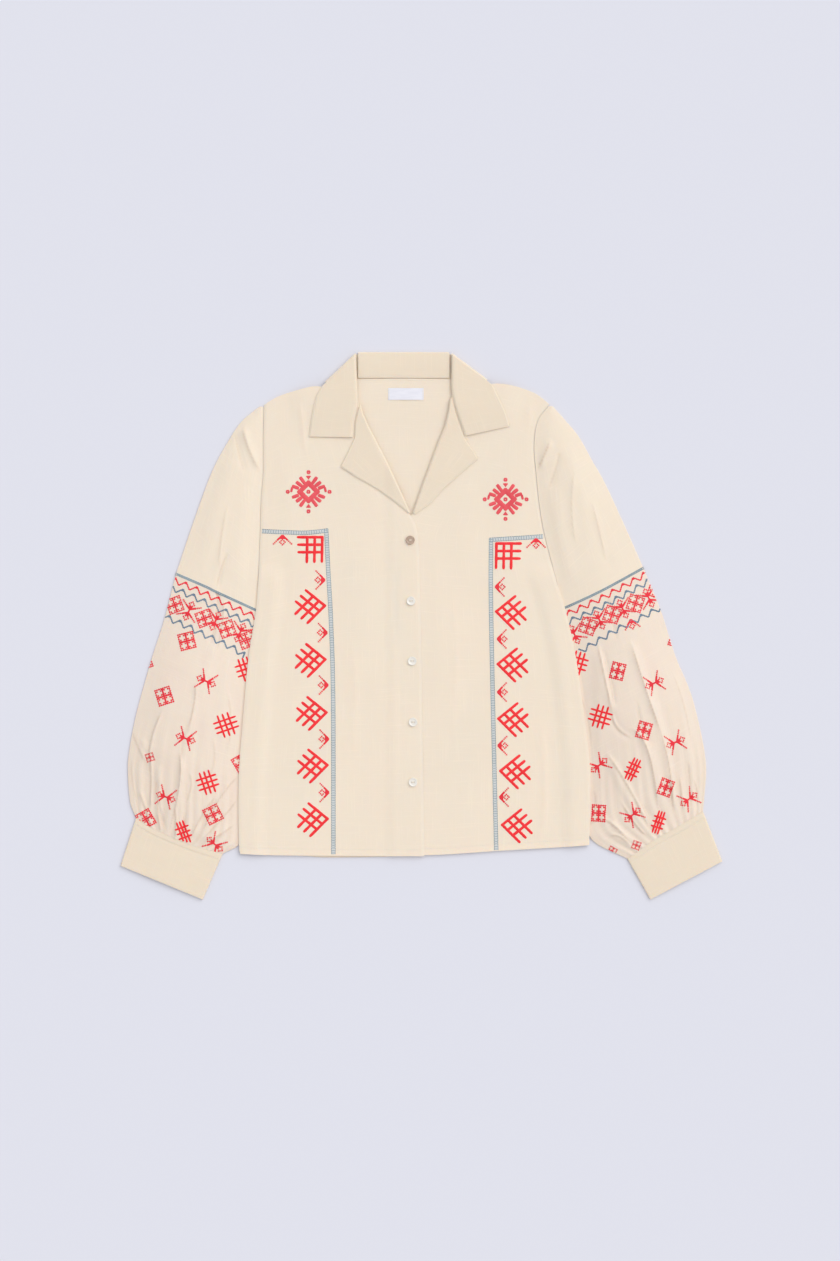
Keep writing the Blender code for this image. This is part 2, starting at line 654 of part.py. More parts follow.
def make_stand(material):
    """The inside band of the collar: from the neck seam up to the roll, and down round it."""
    x = np.linspace(STAND_X[0], STAND_X[1], 9)
    low = COLLAR_WALL + GAP
    radius = (2 * COLLAR_WALL + GAP) / 2
    small = GAP / 2
    path = [(STAND_SEAM_Y, low + COLLAR_WALL, STAND_SEAM_Y, low)]
    path.append((STAND_SEAM_Y + 12.0, low + COLLAR_WALL + 0.7, STAND_SEAM_Y + 12.0, low + 0.7))
    path.append((STAND_SEAM_Y + 24.0, low + COLLAR_WALL + 0.4, STAND_SEAM_Y + 24.0, low + 0.4))
    for turn in (90.0, 45.0, 0.0, -45.0, -90.0):
        c, s = math.cos(math.radians(turn)), math.sin(math.radians(turn))
        centre = STAND_ROLL_Y - radius
        path.append((centre + radius * c, radius + radius * s, centre + small * c, radius + small * s))
    upper = np.array([[(across, up_y, up_z) for across in x] for up_y, up_z, _, _ in path])
    lower = np.array([[(across, low_y, low_z) for across in x] for _, _, low_y, low_z in path])
    grid_solid("collar_stand", upper.reshape(-1, 3), lower.reshape(-1, 3), len(path), len(x), material)


def body_outside_right(x, y):
    return -inside_right(x, y)


def body_outside_left(x, y):
    return -inside_left(x, y)


def make_sleeves(upper_material, lower_material):
    sides = (
        ("right", UPPER_OUTER_RIGHT, ARMHOLE_RIGHT, BAND_SEAM_RIGHT, LOWER_OUTER_RIGHT, LOWER_INNER_RIGHT,
         CUFF_SEAM_RIGHT, body_outside_right, SLEEVE_FOLDS_RIGHT, -1.0),
        ("left", UPPER_OUTER_LEFT, ARMHOLE_LEFT, BAND_SEAM_LEFT, LOWER_OUTER_LEFT, LOWER_INNER_LEFT,
         CUFF_SEAM_LEFT, body_outside_left, SLEEVE_FOLDS_LEFT, 1.0),
    )
    for side, outer, armhole, band, low_outer, low_inner, cuff, outside, folds, out in sides:
        armhole_line = curve(armhole, ARMHOLE_ROWS) + np.array([out * ARMHOLE_GAP, 0.0])
        armhole_line[0] += np.array([out * 1.0, -2.5])
        upper_end = seam_from(band, SEAM_HALF + 0.05)
        tucked = curve([tuple(armhole_line[-1]), upper_end[-1]], TUCKED_ROWS)[1:]
        inner_line = np.vstack([armhole_line, tucked])
        outer_line = curve(outer[:-1] + [upper_end[0]], len(inner_line))
        top_line = np.array([outer[0], armhole_line[0]], float)
        sleeve("sleeve_upper_" + side, outer_line, inner_line, spaced(top_line, 9), curve(upper_end, 9),
               (0.6, UPPER_ARCH, UPPER_ARCH, BAND_ARCH), outside, folds, 13, 6, NO_GATHERS, False,
               upper_material)
        lower_top = seam_from(band, -SEAM_HALF - 0.05)
        lower_end = seam_from(cuff, SEAM_HALF)
        outer_line = curve([lower_top[0]] + low_outer[1:-1] + [lower_end[0]], LOWER_ROWS)
        inner_line = curve([lower_top[-1]] + low_inner[1:-1] + [lower_end[-1]], LOWER_ROWS)
        sleeve("sleeve_lower_" + side, outer_line, inner_line, curve(lower_top, 25), curve(lower_end, 25),
               (BAND_ARCH, BAND_ARCH + 3.0, PUFF_ARCH, PUFF_ARCH, PUFF_ARCH * 0.8, GATHERED_ARCH),
               outside, folds, LOWER_TOPS, 7, 1.0 - GATHER_REACH, True, lower_material)


def make_cuffs(material):
    for side, seam, end, fall in (("right", CUFF_SEAM_RIGHT, CUFF_END_RIGHT, (-0.35, -0.94)),
                                  ("left", CUFF_SEAM_LEFT, CUFF_END_LEFT, (0.45, -0.89))):
        step = np.array(fall) * (SEAM_HALF * 2)
        top = curve(seam, 9) + step
        bottom = spaced(np.array(end, float), 9)
        plan = coons(top, bottom, spaced(np.array([top[0], bottom[0]]), 5),
                     spaced(np.array([top[-1], bottom[-1]]), 5))
        spots = np.linspace(0.0, 1.0, 9)
        outer_rows, inner_rows = [], []
        for line in plan:
            bend = line - (line[0] + spots[:, None] * (line[-1] - line[0]))
            width = np.hypot(*(line[-1] - line[0]))
            heights = CUFF_ARCH * np.sin(np.pi * spots) ** 0.8
            outer, inner = section(line[0], line[-1], heights, spots, CUFF_WALL, CUFF_SLIT, 7, True,
                                   spots * 0.0)
            for points in (outer, inner):
                share = np.clip((points[:, :2] - line[0]) @ (line[-1] - line[0]) / width ** 2, 0.0, 1.0)
                points[:, 0] += np.interp(share, spots, bend[:, 0])
                points[:, 1] += np.interp(share, spots, bend[:, 1])
            outer_rows.append(outer)
            inner_rows.append(inner)
        ring_solid("cuff_" + side, np.array(outer_rows), np.array(inner_rows), material)


def make_label(material):
    x = np.linspace(LABEL[0], LABEL[2], 5)
    y = np.linspace(LABEL[3], LABEL[1], 3)
    plan = np.dstack(np.meshgrid(x, y))
    top = back_bottom(plan[:, :, 0], plan[:, :, 1]) + WALL + GAP + LABEL_THICK
    closed_sheet("neck_label", plan, top, LABEL_THICK, material)


def make_button(name, x, y, material):
    """A dished disc with two holes, resting on the right front."""
    rest = float(np.max(front_right_bottom(x + np.array([-6.0, 0.0, 6.0]), y + np.array([0.0, 0.0, 0.0]))))
    rest += WALL + GAP + 0.1
    profile = [(0.0, 0.0), (BUTTON_RADIUS - 0.6, 0.0), (BUTTON_RADIUS, 0.7),
               (BUTTON_RADIUS, BUTTON_THICK - 0.5), (BUTTON_RADIUS - 0.6, BUTTON_THICK),
               (BUTTON_RADIUS - 1.5, BUTTON_THICK - 0.1),
               (BUTTON_RADIUS - 2.3, BUTTON_THICK - BUTTON_DISH), (0.0, BUTTON_THICK - BUTTON_DISH)]
    sides = BUTTON_SIDES
    points = [(0.0, 0.0, 0.0)]
    for radius, height in profile[1:-1]:
        for k in range(sides):
            angle = 2 * math.pi * k / sides
            points.append((radius * math.cos(angle), radius * math.sin(angle), height))
    points.append((0.0, 0.0, profile[-1][1]))
    faces = []
    rings = len(profile) - 2
    for k in range(sides):
        n = (k + 1) % sides
        faces.append((0, 1 + n, 1 + k))
        for r in range(rings - 1):
            a = 1 + r * sides + k
            b = 1 + r * sides + n
            faces.append((a, b, b + sides, a + sides))
        last = 1 + (rings - 1) * sides
        faces.append((last + k, last + n, len(points) - 1))
    made = add_object(name, points, faces, material)
    made.location = (x * MM, y * MM, rest * MM)
    for sign in (-1.0, 1.0):
        hole_place = ((x + sign * BUTTON_HOLE_OFFSET) * MM, y * MM, rest * MM)
        bpy.ops.mesh.primitive_cylinder_add(vertices=6, radius=BUTTON_HOLE_RADIUS * MM, depth=6 * MM,
                                            location=hole_place)
        cutter = bpy.context.active_object
        cutter.name = name + "_hole_cutter"
        cutter.hide_render = True
        cutter.display_type = "WIRE"
        cut = made.modifiers.new("hole", "BOOLEAN")
        cut.operation = "DIFFERENCE"
        cut.object = cutter
    return made


def make_buttons(material):
    for name, x, y in BUTTONS:
        make_button(name, x, y, material)


def centre_on_origin():
    """Move everything so that the middle of the outline is the origin, with the table at zero."""
    bpy.context.view_layer.update()
    corners = []
    for made in bpy.context.scene.objects:
        if made.type == "MESH" and not made.hide_render:
            corners += [made.matrix_world @ vertex.co for vertex in made.data.vertices]
    xs = [c.x for c in corners]
    ys = [c.y for c in corners]
    shift = ((min(xs) + max(xs)) / 2, (min(ys) + max(ys)) / 2)
    for made in bpy.context.scene.objects:
        made.location.x -= shift[0]
        made.location.y -= shift[1]


def main():
    for old in list(bpy.data.objects):
        bpy.data.objects.remove(old, do_unlink=True)
    cream = make_material("cream slub cloth", CREAM, 0.85)
    pinkish = make_material("cream sleeve cloth", CREAM_PINK, 0.85)
    make_back(cream)
    make_fronts(cream)
    make_lapels(cream)
    make_collar(cream)
    make_stand(cream)
    make_sleeves(cream, pinkish)
    make_cuffs(cream)
    make_label(make_material("white satin label", WHITE, 0.5))
    make_buttons(make_material("pearly shell", SHELL, 0.25))
    centre_on_origin()


main()
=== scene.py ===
# %% [markdown]
# # An embroidered blouse, laid flat
# The blouse lies face up on a pale table and is seen from straight above. The measured frame comes
# first, because every piece of cloth here follows the solid that holds its place there.

# %% Load the measured frame
import itertools
import math

import bpy
import numpy as np
from mathutils import Matrix, Vector
from mathutils.bvhtree import BVHTree


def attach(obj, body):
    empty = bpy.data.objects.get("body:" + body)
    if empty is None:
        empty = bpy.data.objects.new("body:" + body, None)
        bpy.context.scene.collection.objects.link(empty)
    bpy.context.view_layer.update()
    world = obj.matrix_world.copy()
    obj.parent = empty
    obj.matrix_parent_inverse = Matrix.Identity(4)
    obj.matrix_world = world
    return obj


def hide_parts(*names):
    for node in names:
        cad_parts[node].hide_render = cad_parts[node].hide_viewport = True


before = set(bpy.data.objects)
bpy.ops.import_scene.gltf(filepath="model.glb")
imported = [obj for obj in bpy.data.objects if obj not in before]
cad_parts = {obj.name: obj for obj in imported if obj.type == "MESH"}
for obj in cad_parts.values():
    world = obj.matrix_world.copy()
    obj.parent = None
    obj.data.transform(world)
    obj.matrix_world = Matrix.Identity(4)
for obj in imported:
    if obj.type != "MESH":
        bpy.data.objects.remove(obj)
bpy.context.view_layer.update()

# %% [markdown]
# ## Units and places
# A garment is drafted in millimetres, so all tables below are in millimetres and become metres when
# a mesh is made. One pixel of the picture covers 1.36 mm of the table, and the middle of the blouse
# falls on one pixel, so a place read off the picture turns into a place on the cloth.

# %% Millimetres and picture places
MM = 0.001
MM_PER_PIXEL = 1.36
MIDDLE_PIXEL_X = 421.4
MIDDLE_PIXEL_Y = 625.75
PICTURE_WIDE = 840
PICTURE_HIGH = 1261


def from_picture(pixels):
    """Places in millimetres on the table for places in the picture."""
    places = np.array(pixels, float)
    across = (places[..., 0] - MIDDLE_PIXEL_X) * MM_PER_PIXEL
    up = (MIDDLE_PIXEL_Y - places[..., 1]) * MM_PER_PIXEL
    return np.stack([across, up], axis=-1)


picture_middle = from_picture([PICTURE_WIDE / 2, PICTURE_HIGH / 2])
print("middle of the picture at", picture_middle)

# %% [markdown]
# ## Camera, table and light
# A flat garment is photographed from a stand straight above it. A camera far away with a long lens
# keeps the raised sleeves where they are in plan. The light is one wide soft source from the top
# right, with a bright even room around it, so that shadows are short and fall to the lower left.

# %% Camera straight above
CAMERA_HEIGHT = 4.2
PICTURE_LENGTH = PICTURE_HIGH * MM_PER_PIXEL * MM
SENSOR = 36.0
FAR_CLIP = 50.0

camera_data = bpy.data.cameras.new("camera above the table")
camera_data.sensor_width = SENSOR
camera_data.lens = SENSOR * CAMERA_HEIGHT / PICTURE_LENGTH
camera_data.clip_end = FAR_CLIP
camera = bpy.data.objects.new("camera above the table", camera_data)
camera.location = (*(picture_middle * MM), CAMERA_HEIGHT)
bpy.context.collection.objects.link(camera)
bpy.context.scene.camera = camera
bpy.context.scene.view_settings.view_transform = "Standard"
print("lens", round(camera_data.lens, 1), "mm")

# %% Table top
TABLE_COLOUR = (0.755, 0.755, 0.815, 1.0)
TABLE_SIZE = 9.0
TABLE_Z = -0.0002


def select_nothing():
    for chosen in bpy.context.selected_objects:
        chosen.select_set(False)


def fill_in(node, **values):
    """Set a node's inputs by their names, written with _ for a space."""
    for title, value in values.items():
        node.inputs[title.replace("_", " ")].default_value = value


def new_material(name, **looks):
    """A material with its tree and its shader, whose inputs are filled in."""
    material = bpy.data.materials.new(name)
    material.use_nodes = True
    tree = material.node_tree
    shader = tree.nodes["Principled BSDF"]
    fill_in(shader, **looks)
    return material, tree, shader


select_nothing()
bpy.ops.mesh.primitive_plane_add(size=TABLE_SIZE, location=(0.0, 0.0, TABLE_Z))
table = bpy.context.active_object
table.name = "table_top"
table_looks = {"Base_Color": TABLE_COLOUR, "Roughness": 0.9, "Specular_IOR_Level": 0.2}
table.data.materials.append(new_material("pale matt table", **table_looks)[0])

# %% Soft light
KEY_ANGLE = math.radians(56.0)
KEY_FROM = Vector((0.62, 0.66, 1.0))
KEY_STRENGTH = 1.42
KEY_COLOUR = (1.0, 0.985, 0.96)
ROOM_STRENGTH = 0.715
ROOM_COLOUR = (0.93, 0.95, 1.0, 1.0)

key_data = bpy.data.lights.new("wide soft lamp", "SUN")
key_data.angle = KEY_ANGLE
key_data.energy = KEY_STRENGTH
key_data.color = KEY_COLOUR
key = bpy.data.objects.new("wide soft lamp", key_data)
key.rotation_euler = KEY_FROM.to_track_quat("Z", "Y").to_euler()
bpy.context.collection.objects.link(key)

room = bpy.data.worlds.new("bright even room")
room.use_nodes = True
fill_in(room.node_tree.nodes["Background"], Color=ROOM_COLOUR, Strength=ROOM_STRENGTH)
bpy.context.scene.world = room

# %% [markdown]
# ## Curves and grids of cloth
# A pattern cutter draws a few points and joins them with a smooth curve. The same is done here: a
# short list of points becomes an even line, and four lines around a panel are filled in with a grid.
# A grid gives even cloth that can be raised by a height for every place.

# %% Smooth lines
CURVE_STEPS = 16
JOINED_POINTS = 60


def smoothstep(value):
    clipped = np.clip(value, 0.0, 1.0)
    return clipped * clipped * (3.0 - 2.0 * clipped)


def length_of(line):
    return float(np.hypot(*np.diff(line, axis=0).T).sum())


def aim(degrees):
    """A direction in plan, as the cosine and sine of its angle."""
    return np.array([math.cos(math.radians(degrees)), math.sin(math.radians(degrees))])


def at_shares(line, shares):
    """Points at the given shares of a line's length."""
    steps = np.hypot(*np.diff(line, axis=0).T)
    length = np.concatenate([[0.0], np.cumsum(steps)])
    at = np.asarray(shares) * length[-1]
    return np.column_stack([np.interp(at, length, line[:, k]) for k in range(2)])


def spaced(line, count):
    return at_shares(line, np.linspace(0.0, 1.0, count))


def smooth_rows(table, steps):
    """Rows added smoothly between the rows of a table, at even steps."""
    knots = np.array(table, float)
    padded = np.vstack([2 * knots[0] - knots[1], knots, 2 * knots[-1] - knots[-2]])
    dense = []
    for i in range(1, len(padded) - 2):
        a, b, c, d = padded[i - 1:i + 3]
        for t in np.linspace(0.0, 1.0, steps, endpoint=False):
            near, far = 2 * t ** 3 - 3 * t ** 2 + 1, -2 * t ** 3 + 3 * t ** 2
            leaving, arriving = t ** 3 - 2 * t ** 2 + t, t ** 3 - t ** 2
            dense.append(near * b + leaving * 0.5 * (c - a) + far * c + arriving * 0.5 * (d - b))
    dense.append(knots[-1])
    return np.array(dense)


def curve(points, count):
    """Points spaced evenly along a smooth curve through the given ones."""
    return spaced(smooth_rows(points, CURVE_STEPS), count)


def joined(*curves):
    """One line of several smooth stretches that meet at corners."""
    parts = [curve(points, JOINED_POINTS) for points in curves]
    return np.vstack([parts[0]] + [part[1:] for part in parts[1:]])


def two_stretches(first, second, first_rows, second_rows):
    """Rows down two stretches that share the point where they meet."""
    return np.vstack([curve(first, first_rows), curve(second, second_rows)[1:]])


def coons(top, bottom, left, right, shares):
    """A grid filled in between four edges: rows run from top to bottom."""
    u = np.asarray(shares)[None, :, None]
    v = np.linspace(0.0, 1.0, len(left))[:, None, None]
    across = (1 - v) * top[None] + v * bottom[None]
    down = (1 - u) * left[:, None] + u * right[:, None]
    corners = ((1 - u) * (1 - v) * top[0] + u * (1 - v) * top[-1]
               + (1 - u) * v * bottom[0] + u * v * bottom[-1])
    return across + down - corners


# %% Closed cloth from two layers of points
CREASE_ANGLE = math.radians(50.0)


def new_mesh(name, points, faces, map_name, flat, material, sharp_angle):
    """A smooth mesh of points in metres, with a flat map that gives a place for each point."""
    mesh = bpy.data.meshes.new(name)
    mesh.from_pydata(points.tolist(), [], faces)
    mapped = mesh.uv_layers.new(name=map_name)
    corner_points = np.empty(len(mesh.loops), dtype=np.int64)
    mesh.loops.foreach_get("vertex_index", corner_points)
    mapped.data.foreach_set("uv", flat[corner_points].ravel())
    mesh.materials.append(material)
    mesh.shade_smooth()
    mesh.set_sharp_from_angle(angle=sharp_angle)
    return mesh


def new_piece(name, mesh):
    """A visible piece on the part's one body."""
    made = bpy.data.objects.new(name, mesh)
    bpy.context.collection.objects.link(made)
    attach(made, "root")
    print(name, sum(len(face.vertices) - 2 for face in mesh.polygons), "triangles")
    return made


def cloth_map(points):
    """A flat map of a grid in metres, from its mean width and length, for weaves that follow it."""
    across = np.linalg.norm(np.diff(points, axis=1), axis=2).mean(axis=0)
    down = np.linalg.norm(np.diff(points, axis=0), axis=2).mean(axis=1)
    u = np.concatenate([[0.0], np.cumsum(across)])
    v = np.concatenate([[0.0], np.cumsum(down)])
    return np.stack(np.meshgrid(u, v), axis=-1).reshape(-1, 2) * MM


def cloth_piece(name, upper, lower, material, slot, closed=False, painted_shade_in=None):
    """A wall of cloth between an upper and a lower grid; closed joins its last column to its first.
    The last argument gives painted shade: for each upper point, from 0 to 1, how much shade of a sharp fold
    is painted there."""
    rows, columns = upper.shape[:2]
    count = rows * columns
    points = np.vstack([upper.reshape(-1, 3), lower.reshape(-1, 3)]) * MM
    index = np.arange(count).reshape(rows, columns)
    wide = columns if closed else columns - 1
    a = index[:-1, :wide]
    b = np.roll(index, -1, axis=1)[:-1, :wide]
    c = np.roll(index, -1, axis=1)[1:, :wide]
    d = index[1:, :wide]
    top_faces = np.stack([a, d, c, b], axis=-1).reshape(-1, 4)
    low_faces = np.stack([a, b, c, d], axis=-1).reshape(-1, 4) + count
    rims = []
    if closed:
        for row, turn in ((0, 1), (rows - 1, -1)):
            start = index[row]
            after = np.roll(start, -1)
            rim = np.stack([start, after, after + count, start + count], axis=-1)
            rims.append(rim[:, ::turn])
    else:
        around = np.concatenate([index[0], index[1:, -1], index[-1, -2::-1], index[-2:0:-1, 0]])
        after = np.roll(around, -1)
        rims.append(np.stack([around, after, after + count, around + count], axis=-1))
    faces = np.vstack([top_faces, low_faces] + rims)
    flat = cloth_map(upper)
    mesh = new_mesh(name, points, faces.tolist(), "cloth", np.vstack([flat, flat]), material, CREASE_ANGLE)
    # Painted shade: each upper point carries how much fold shade the cloth material paints on it; the lower
    # points carry none.
    if painted_shade_in is not None:
        shade_values = mesh.attributes.new("crease_shade", "FLOAT", "POINT")
        shade_values.data.foreach_set("value", np.concatenate([painted_shade_in.ravel(), np.zeros(count)]))
    corners = points[faces[:, :3]]
    volume = float(np.einsum("ij,ij->i", corners[:, 0], np.cross(corners[:, 1], corners[:, 2])).sum())
    if volume < 0.0:
        mesh.flip_normals()
    return new_piece(name, mesh)


def wall_of(name, plan, high, low, material):
    """Cloth over a plan, between two tables of heights."""
    return cloth_piece(name, np.dstack([plan, high]), np.dstack([plan, low]), material, "cloth")


# %% [markdown]
# ## The blouse's outline
# These are the lines where the maker would sew or fold: the armholes, sides, shoulders, neck, hems
# and front edges. Right and left are the wearer's, so the right side has negative x.

# %% Lines of the body
SIDES = ("right", "left")
OUT = {"right": -1.0, "left": 1.0}
ARMHOLE = {
    "right": [(-214, 300), (-215, 253), (-215, 209), (-218, 170), (-219, 130), (-222, 55)],
    "left": [(174, 301), (158, 278), (153, 245), (156, 205), (160, 166), (167, 125), (185, 55)]}
SIDE_SEAM = {
    "right": [(-222, 55), (-225, 19), (-235, -44), (-242, -121), (-248, -203), (-248, -293), (-246, -310)],
    "left": [(185, 55), (195, 24), (209, -38), (222, -128), (229, -192), (229, -251), (228, -298)]}
SHOULDER = {
    "right": [(-214, 300), (-196, 311), (-172, 319), (-148, 325), (-128, 325), (-97, 331)],
    "left": [(51, 334), (84, 328), (104, 329), (125, 326), (154, 316), (174, 301)]}
BACK_NECK = [(-88, 335), (-29, 336), (38, 335)]
HEM_BACK = [(-246, -310), (-160, -313), (-124, -315), (-22, -313), (103, -306), (228, -298)]
HEM_FRONT = {
    "right": [(-246, -310), (-192, -312), (-60, -313), (4, -313)],
    "left": [(-30, -312), (27, -311), (103, -306), (188, -301), (228, -298)]}
NECK_EDGE = {
    "right": [(-97, 331), (-87, 316), (-83, 293), (-66, 257), (-43, 211), (-26, 173), (-16, 152)],
    "left": [(51, 334), (42, 322), (41, 312), (35, 274), (18, 232), (1, 186), (-10, 155)]}
FRONT_EDGE = {
    "right": [(-16, 152), (-7, 134), (-3, 89), (1, -101), (4, -313)],
    "left": [(-10, 155), (-26, 132), (-30, 89), (-30, -101), (-30, -312)]}

# %% Lines of the sleeves
UPPER_OUTER = {
    "right": [(-220, 298), (-228, 292), (-246, 276), (-262, 252), (-285, 209), (-309, 144), (-334, 70)],
    "left": [(179, 298), (195, 280), (214, 257), (232, 225), (250, 193), (280, 128), (302, 78)]}
BAND_SEAM = {
    "right": [(-334, 70), (-292, 52), (-278, 45), (-217, 17)],
    "left": [(302, 78), (243, 46), (187, 20)]}
LOWER_OUTER = {
    "right": [
        (-334, 70), (-349, 11), (-368, -49), (-388, -121), (-398, -175), (-399, -203), (-396, -240),
        (-388, -261)],
    "left": [
        (302, 78), (326, 19), (345, -40), (366, -91), (380, -145), (387, -190), (385, -229), (383, -252)]}
LOWER_INNER = {
    "right": [
        (-217, 17), (-227, -44), (-234, -121), (-240, -203), (-242, -264), (-247, -296), (-270, -310)],
    "left": [(187, 20), (201, -38), (214, -128), (221, -192), (221, -251), (232, -291), (280, -317)]}
CUFF_SEAM = {
    "right": [(-388, -261), (-364, -276), (-312, -298), (-270, -310)],
    "left": [(383, -252), (346, -274), (316, -291), (280, -317)]}
CUFF_END = {"right": [(-409, -326), (-297, -372)], "left": [(409, -320), (311, -372)]}

# %% [markdown]
# ## How high each layer lies
# Cloth that lies on other cloth rises by its wall and a little air. The sleeves' inner edges are
# tucked under the sides of the body, so the sides rise over them. The right front climbs over the
# edge of the left front at the centre, where the buttons close.

# %% Layer sizes
WALL = 1.2
GAP = 0.3
COLLAR_WALL = 1.6
CUFF_WALL = 1.7
CUFF_SLIT = 0.6
SEAM_SHUT = 0.03
UNDERARM_Y = 55.0
LIFT_START_Y = 88.0
SLEEVE_TUCK = 8.0
SIDE_LIFT = 2 * WALL + 2 * GAP
SIDE_RAMP = 30.0
LIFT_EASE = 0.9
FLAP_GAP = 0.4
PILLOW = 0.9
PILLOW_RAMP = 45.0
OVERLAP_STEP = WALL + GAP
CLIMB_X = -35.0
OVERLAP_RAMP = 16.0
EASE_RAMP = 4.0
COLLAR_FALL_EDGE_Y = 316.0
NECK_LIFT_RAMP = 60.0
COLLAR_LIFT_X = (-185.0, 140.0)
COLLAR_LIFT_RAMP = 30.0


def side_line(armhole, side):
    """The body's side as x for each y."""
    line = two_stretches(armhole, side, 60, 80)[::-1]
    return lambda y: np.interp(y, line[:, 1], line[:, 0])


SIDE_X = {side: side_line(ARMHOLE[side], SIDE_SEAM[side]) for side in SIDES}


def within(side, x, y):
    """How far a place lies inside the body's right or left side."""
    return OUT[side] * (SIDE_X[side](y) - x)


def within_both(x, y):
    return np.minimum(within("right", x, y), within("left", x, y))


# %% [markdown]
# ## Folds
# A soft fold is a ridge along a short curved crest that fades out at both ends. Each row of a table
# gives one crest: x and y of its start, middle and end, its width and its height. A negative height
# is a trough. The widest folds are those of the measured solids, and finer creases are added below.

# %% Folds from a table
CREST_STEPS = 41
FADE_RATE = 4.0
FADE_START = 0.15
FRONT_FOLDS = [
    (148, 300, 145, 262, 148, 205, 8, 1.6), (60, 150, 52, 20, 50, -160, 26, 1.3),
    (120, 120, 112, -20, 118, -260, 24, 1.2), (-90, 140, -84, 20, -80, -150, 28, 1.2),
    (-150, 120, -160, 0, -164, -220, 26, 1.3), (-190, 240, -180, 150, -185, 80, 16, 1),
    (188, 30, 196, -120, 200, -270, 14, 1.2), (-212, 60, -214, -100, -220, -270, 14, 1.2),
    (20, 100, 24, 0, 20, -120, 12, 0.8)]
SLEEVE_FOLDS = {
    "right": [
        (-243, 272, -234, 245, -219, 210, 6, 2.2), (-255, 230, -275, 170, -300, 95, 12, 1.6),
        (-236, 190, -245, 120, -250, 50, 11, 1.8), (-262, 150, -280, 100, -290, 62, 8, -1),
        (-280, -20, -290, -60, -306, -100, 9, 3), (-280, 52, -279, 20, -280, -30, 5, 1.8),
        (-340, -60, -352, -130, -360, -200, 14, 2.4), (-370, -187, -370, -229, -379, -256, 6, -2.6),
        (-355, -188, -357, -225, -356, -262, 5, 2.6), (-326, -180, -327, -215, -345, -259, 6, 3),
        (-259, -203, -283, -245, -308, -282, 6, -2.4), (-250, -199, -280, -252, -310, -287, 6, 2.6),
        (-248, -265, -275, -282, -306, -290, 6, 2.2), (-392, -144, -380, -158, -372, -173, 5, 2),
        (-300, -110, -306, -180, -320, -250, 8, -2.2), (-262, -40, -268, -110, -262, -170, 10, 2.6)],
    "left": [
        (176, 253, 168, 232, 158, 213, 6, 2.4), (196, 250, 215, 190, 238, 110, 12, 1.6),
        (180, 190, 190, 120, 208, 50, 11, 1.8), (222, 160, 245, 110, 262, 70, 8, -1),
        (255, -101, 265, -138, 292, -150, 6, -2.4), (292, -150, 312, -180, 327, -256, 6, 3),
        (309, -101, 327, -152, 343, -270, 6, 2.8), (251, -174, 280, -235, 312, -288, 6, 2.6),
        (255, -265, 270, -284, 290, -298, 5, 2.2), (380, -203, 376, -230, 373, -251, 5, -2.4),
        (237, -26, 248, -84, 265, -128, 8, 2.8), (284, -19, 300, -67, 319, -127, 8, 2.8),
        (345, -60, 358, -120, 362, -200, 12, 2.6), (300, -40, 325, -110, 345, -180, 9, -2),
        (235, -60, 240, -120, 238, -190, 9, 2.2)]}


def fold_height(x, y, rows, sharpness=2.0):
    """Ridges and troughs along short curved crests, fading out at their ends."""
    total = np.zeros_like(x, dtype=float)
    for *places, width, height in rows:
        start, middle, end = np.array(places, float).reshape(3, 2)
        nearest = np.full(x.shape, np.inf)
        along = np.zeros(x.shape)
        for t in np.linspace(0.0, 1.0, CREST_STEPS):
            spot = (1 - t) ** 2 * start + 2 * t * (1 - t) * (2 * middle - 0.5 * (start + end)) + t * t * end
            distance = np.hypot(x - spot[0], y - spot[1])
            closer = distance < nearest
            nearest = np.where(closer, distance, nearest)
            along = np.where(closer, t, along)
        ends = smoothstep(np.minimum(along, 1.0 - along) * FADE_RATE + FADE_START)
        total += height * ends * np.exp(-(nearest / width) ** sharpness)
    return total
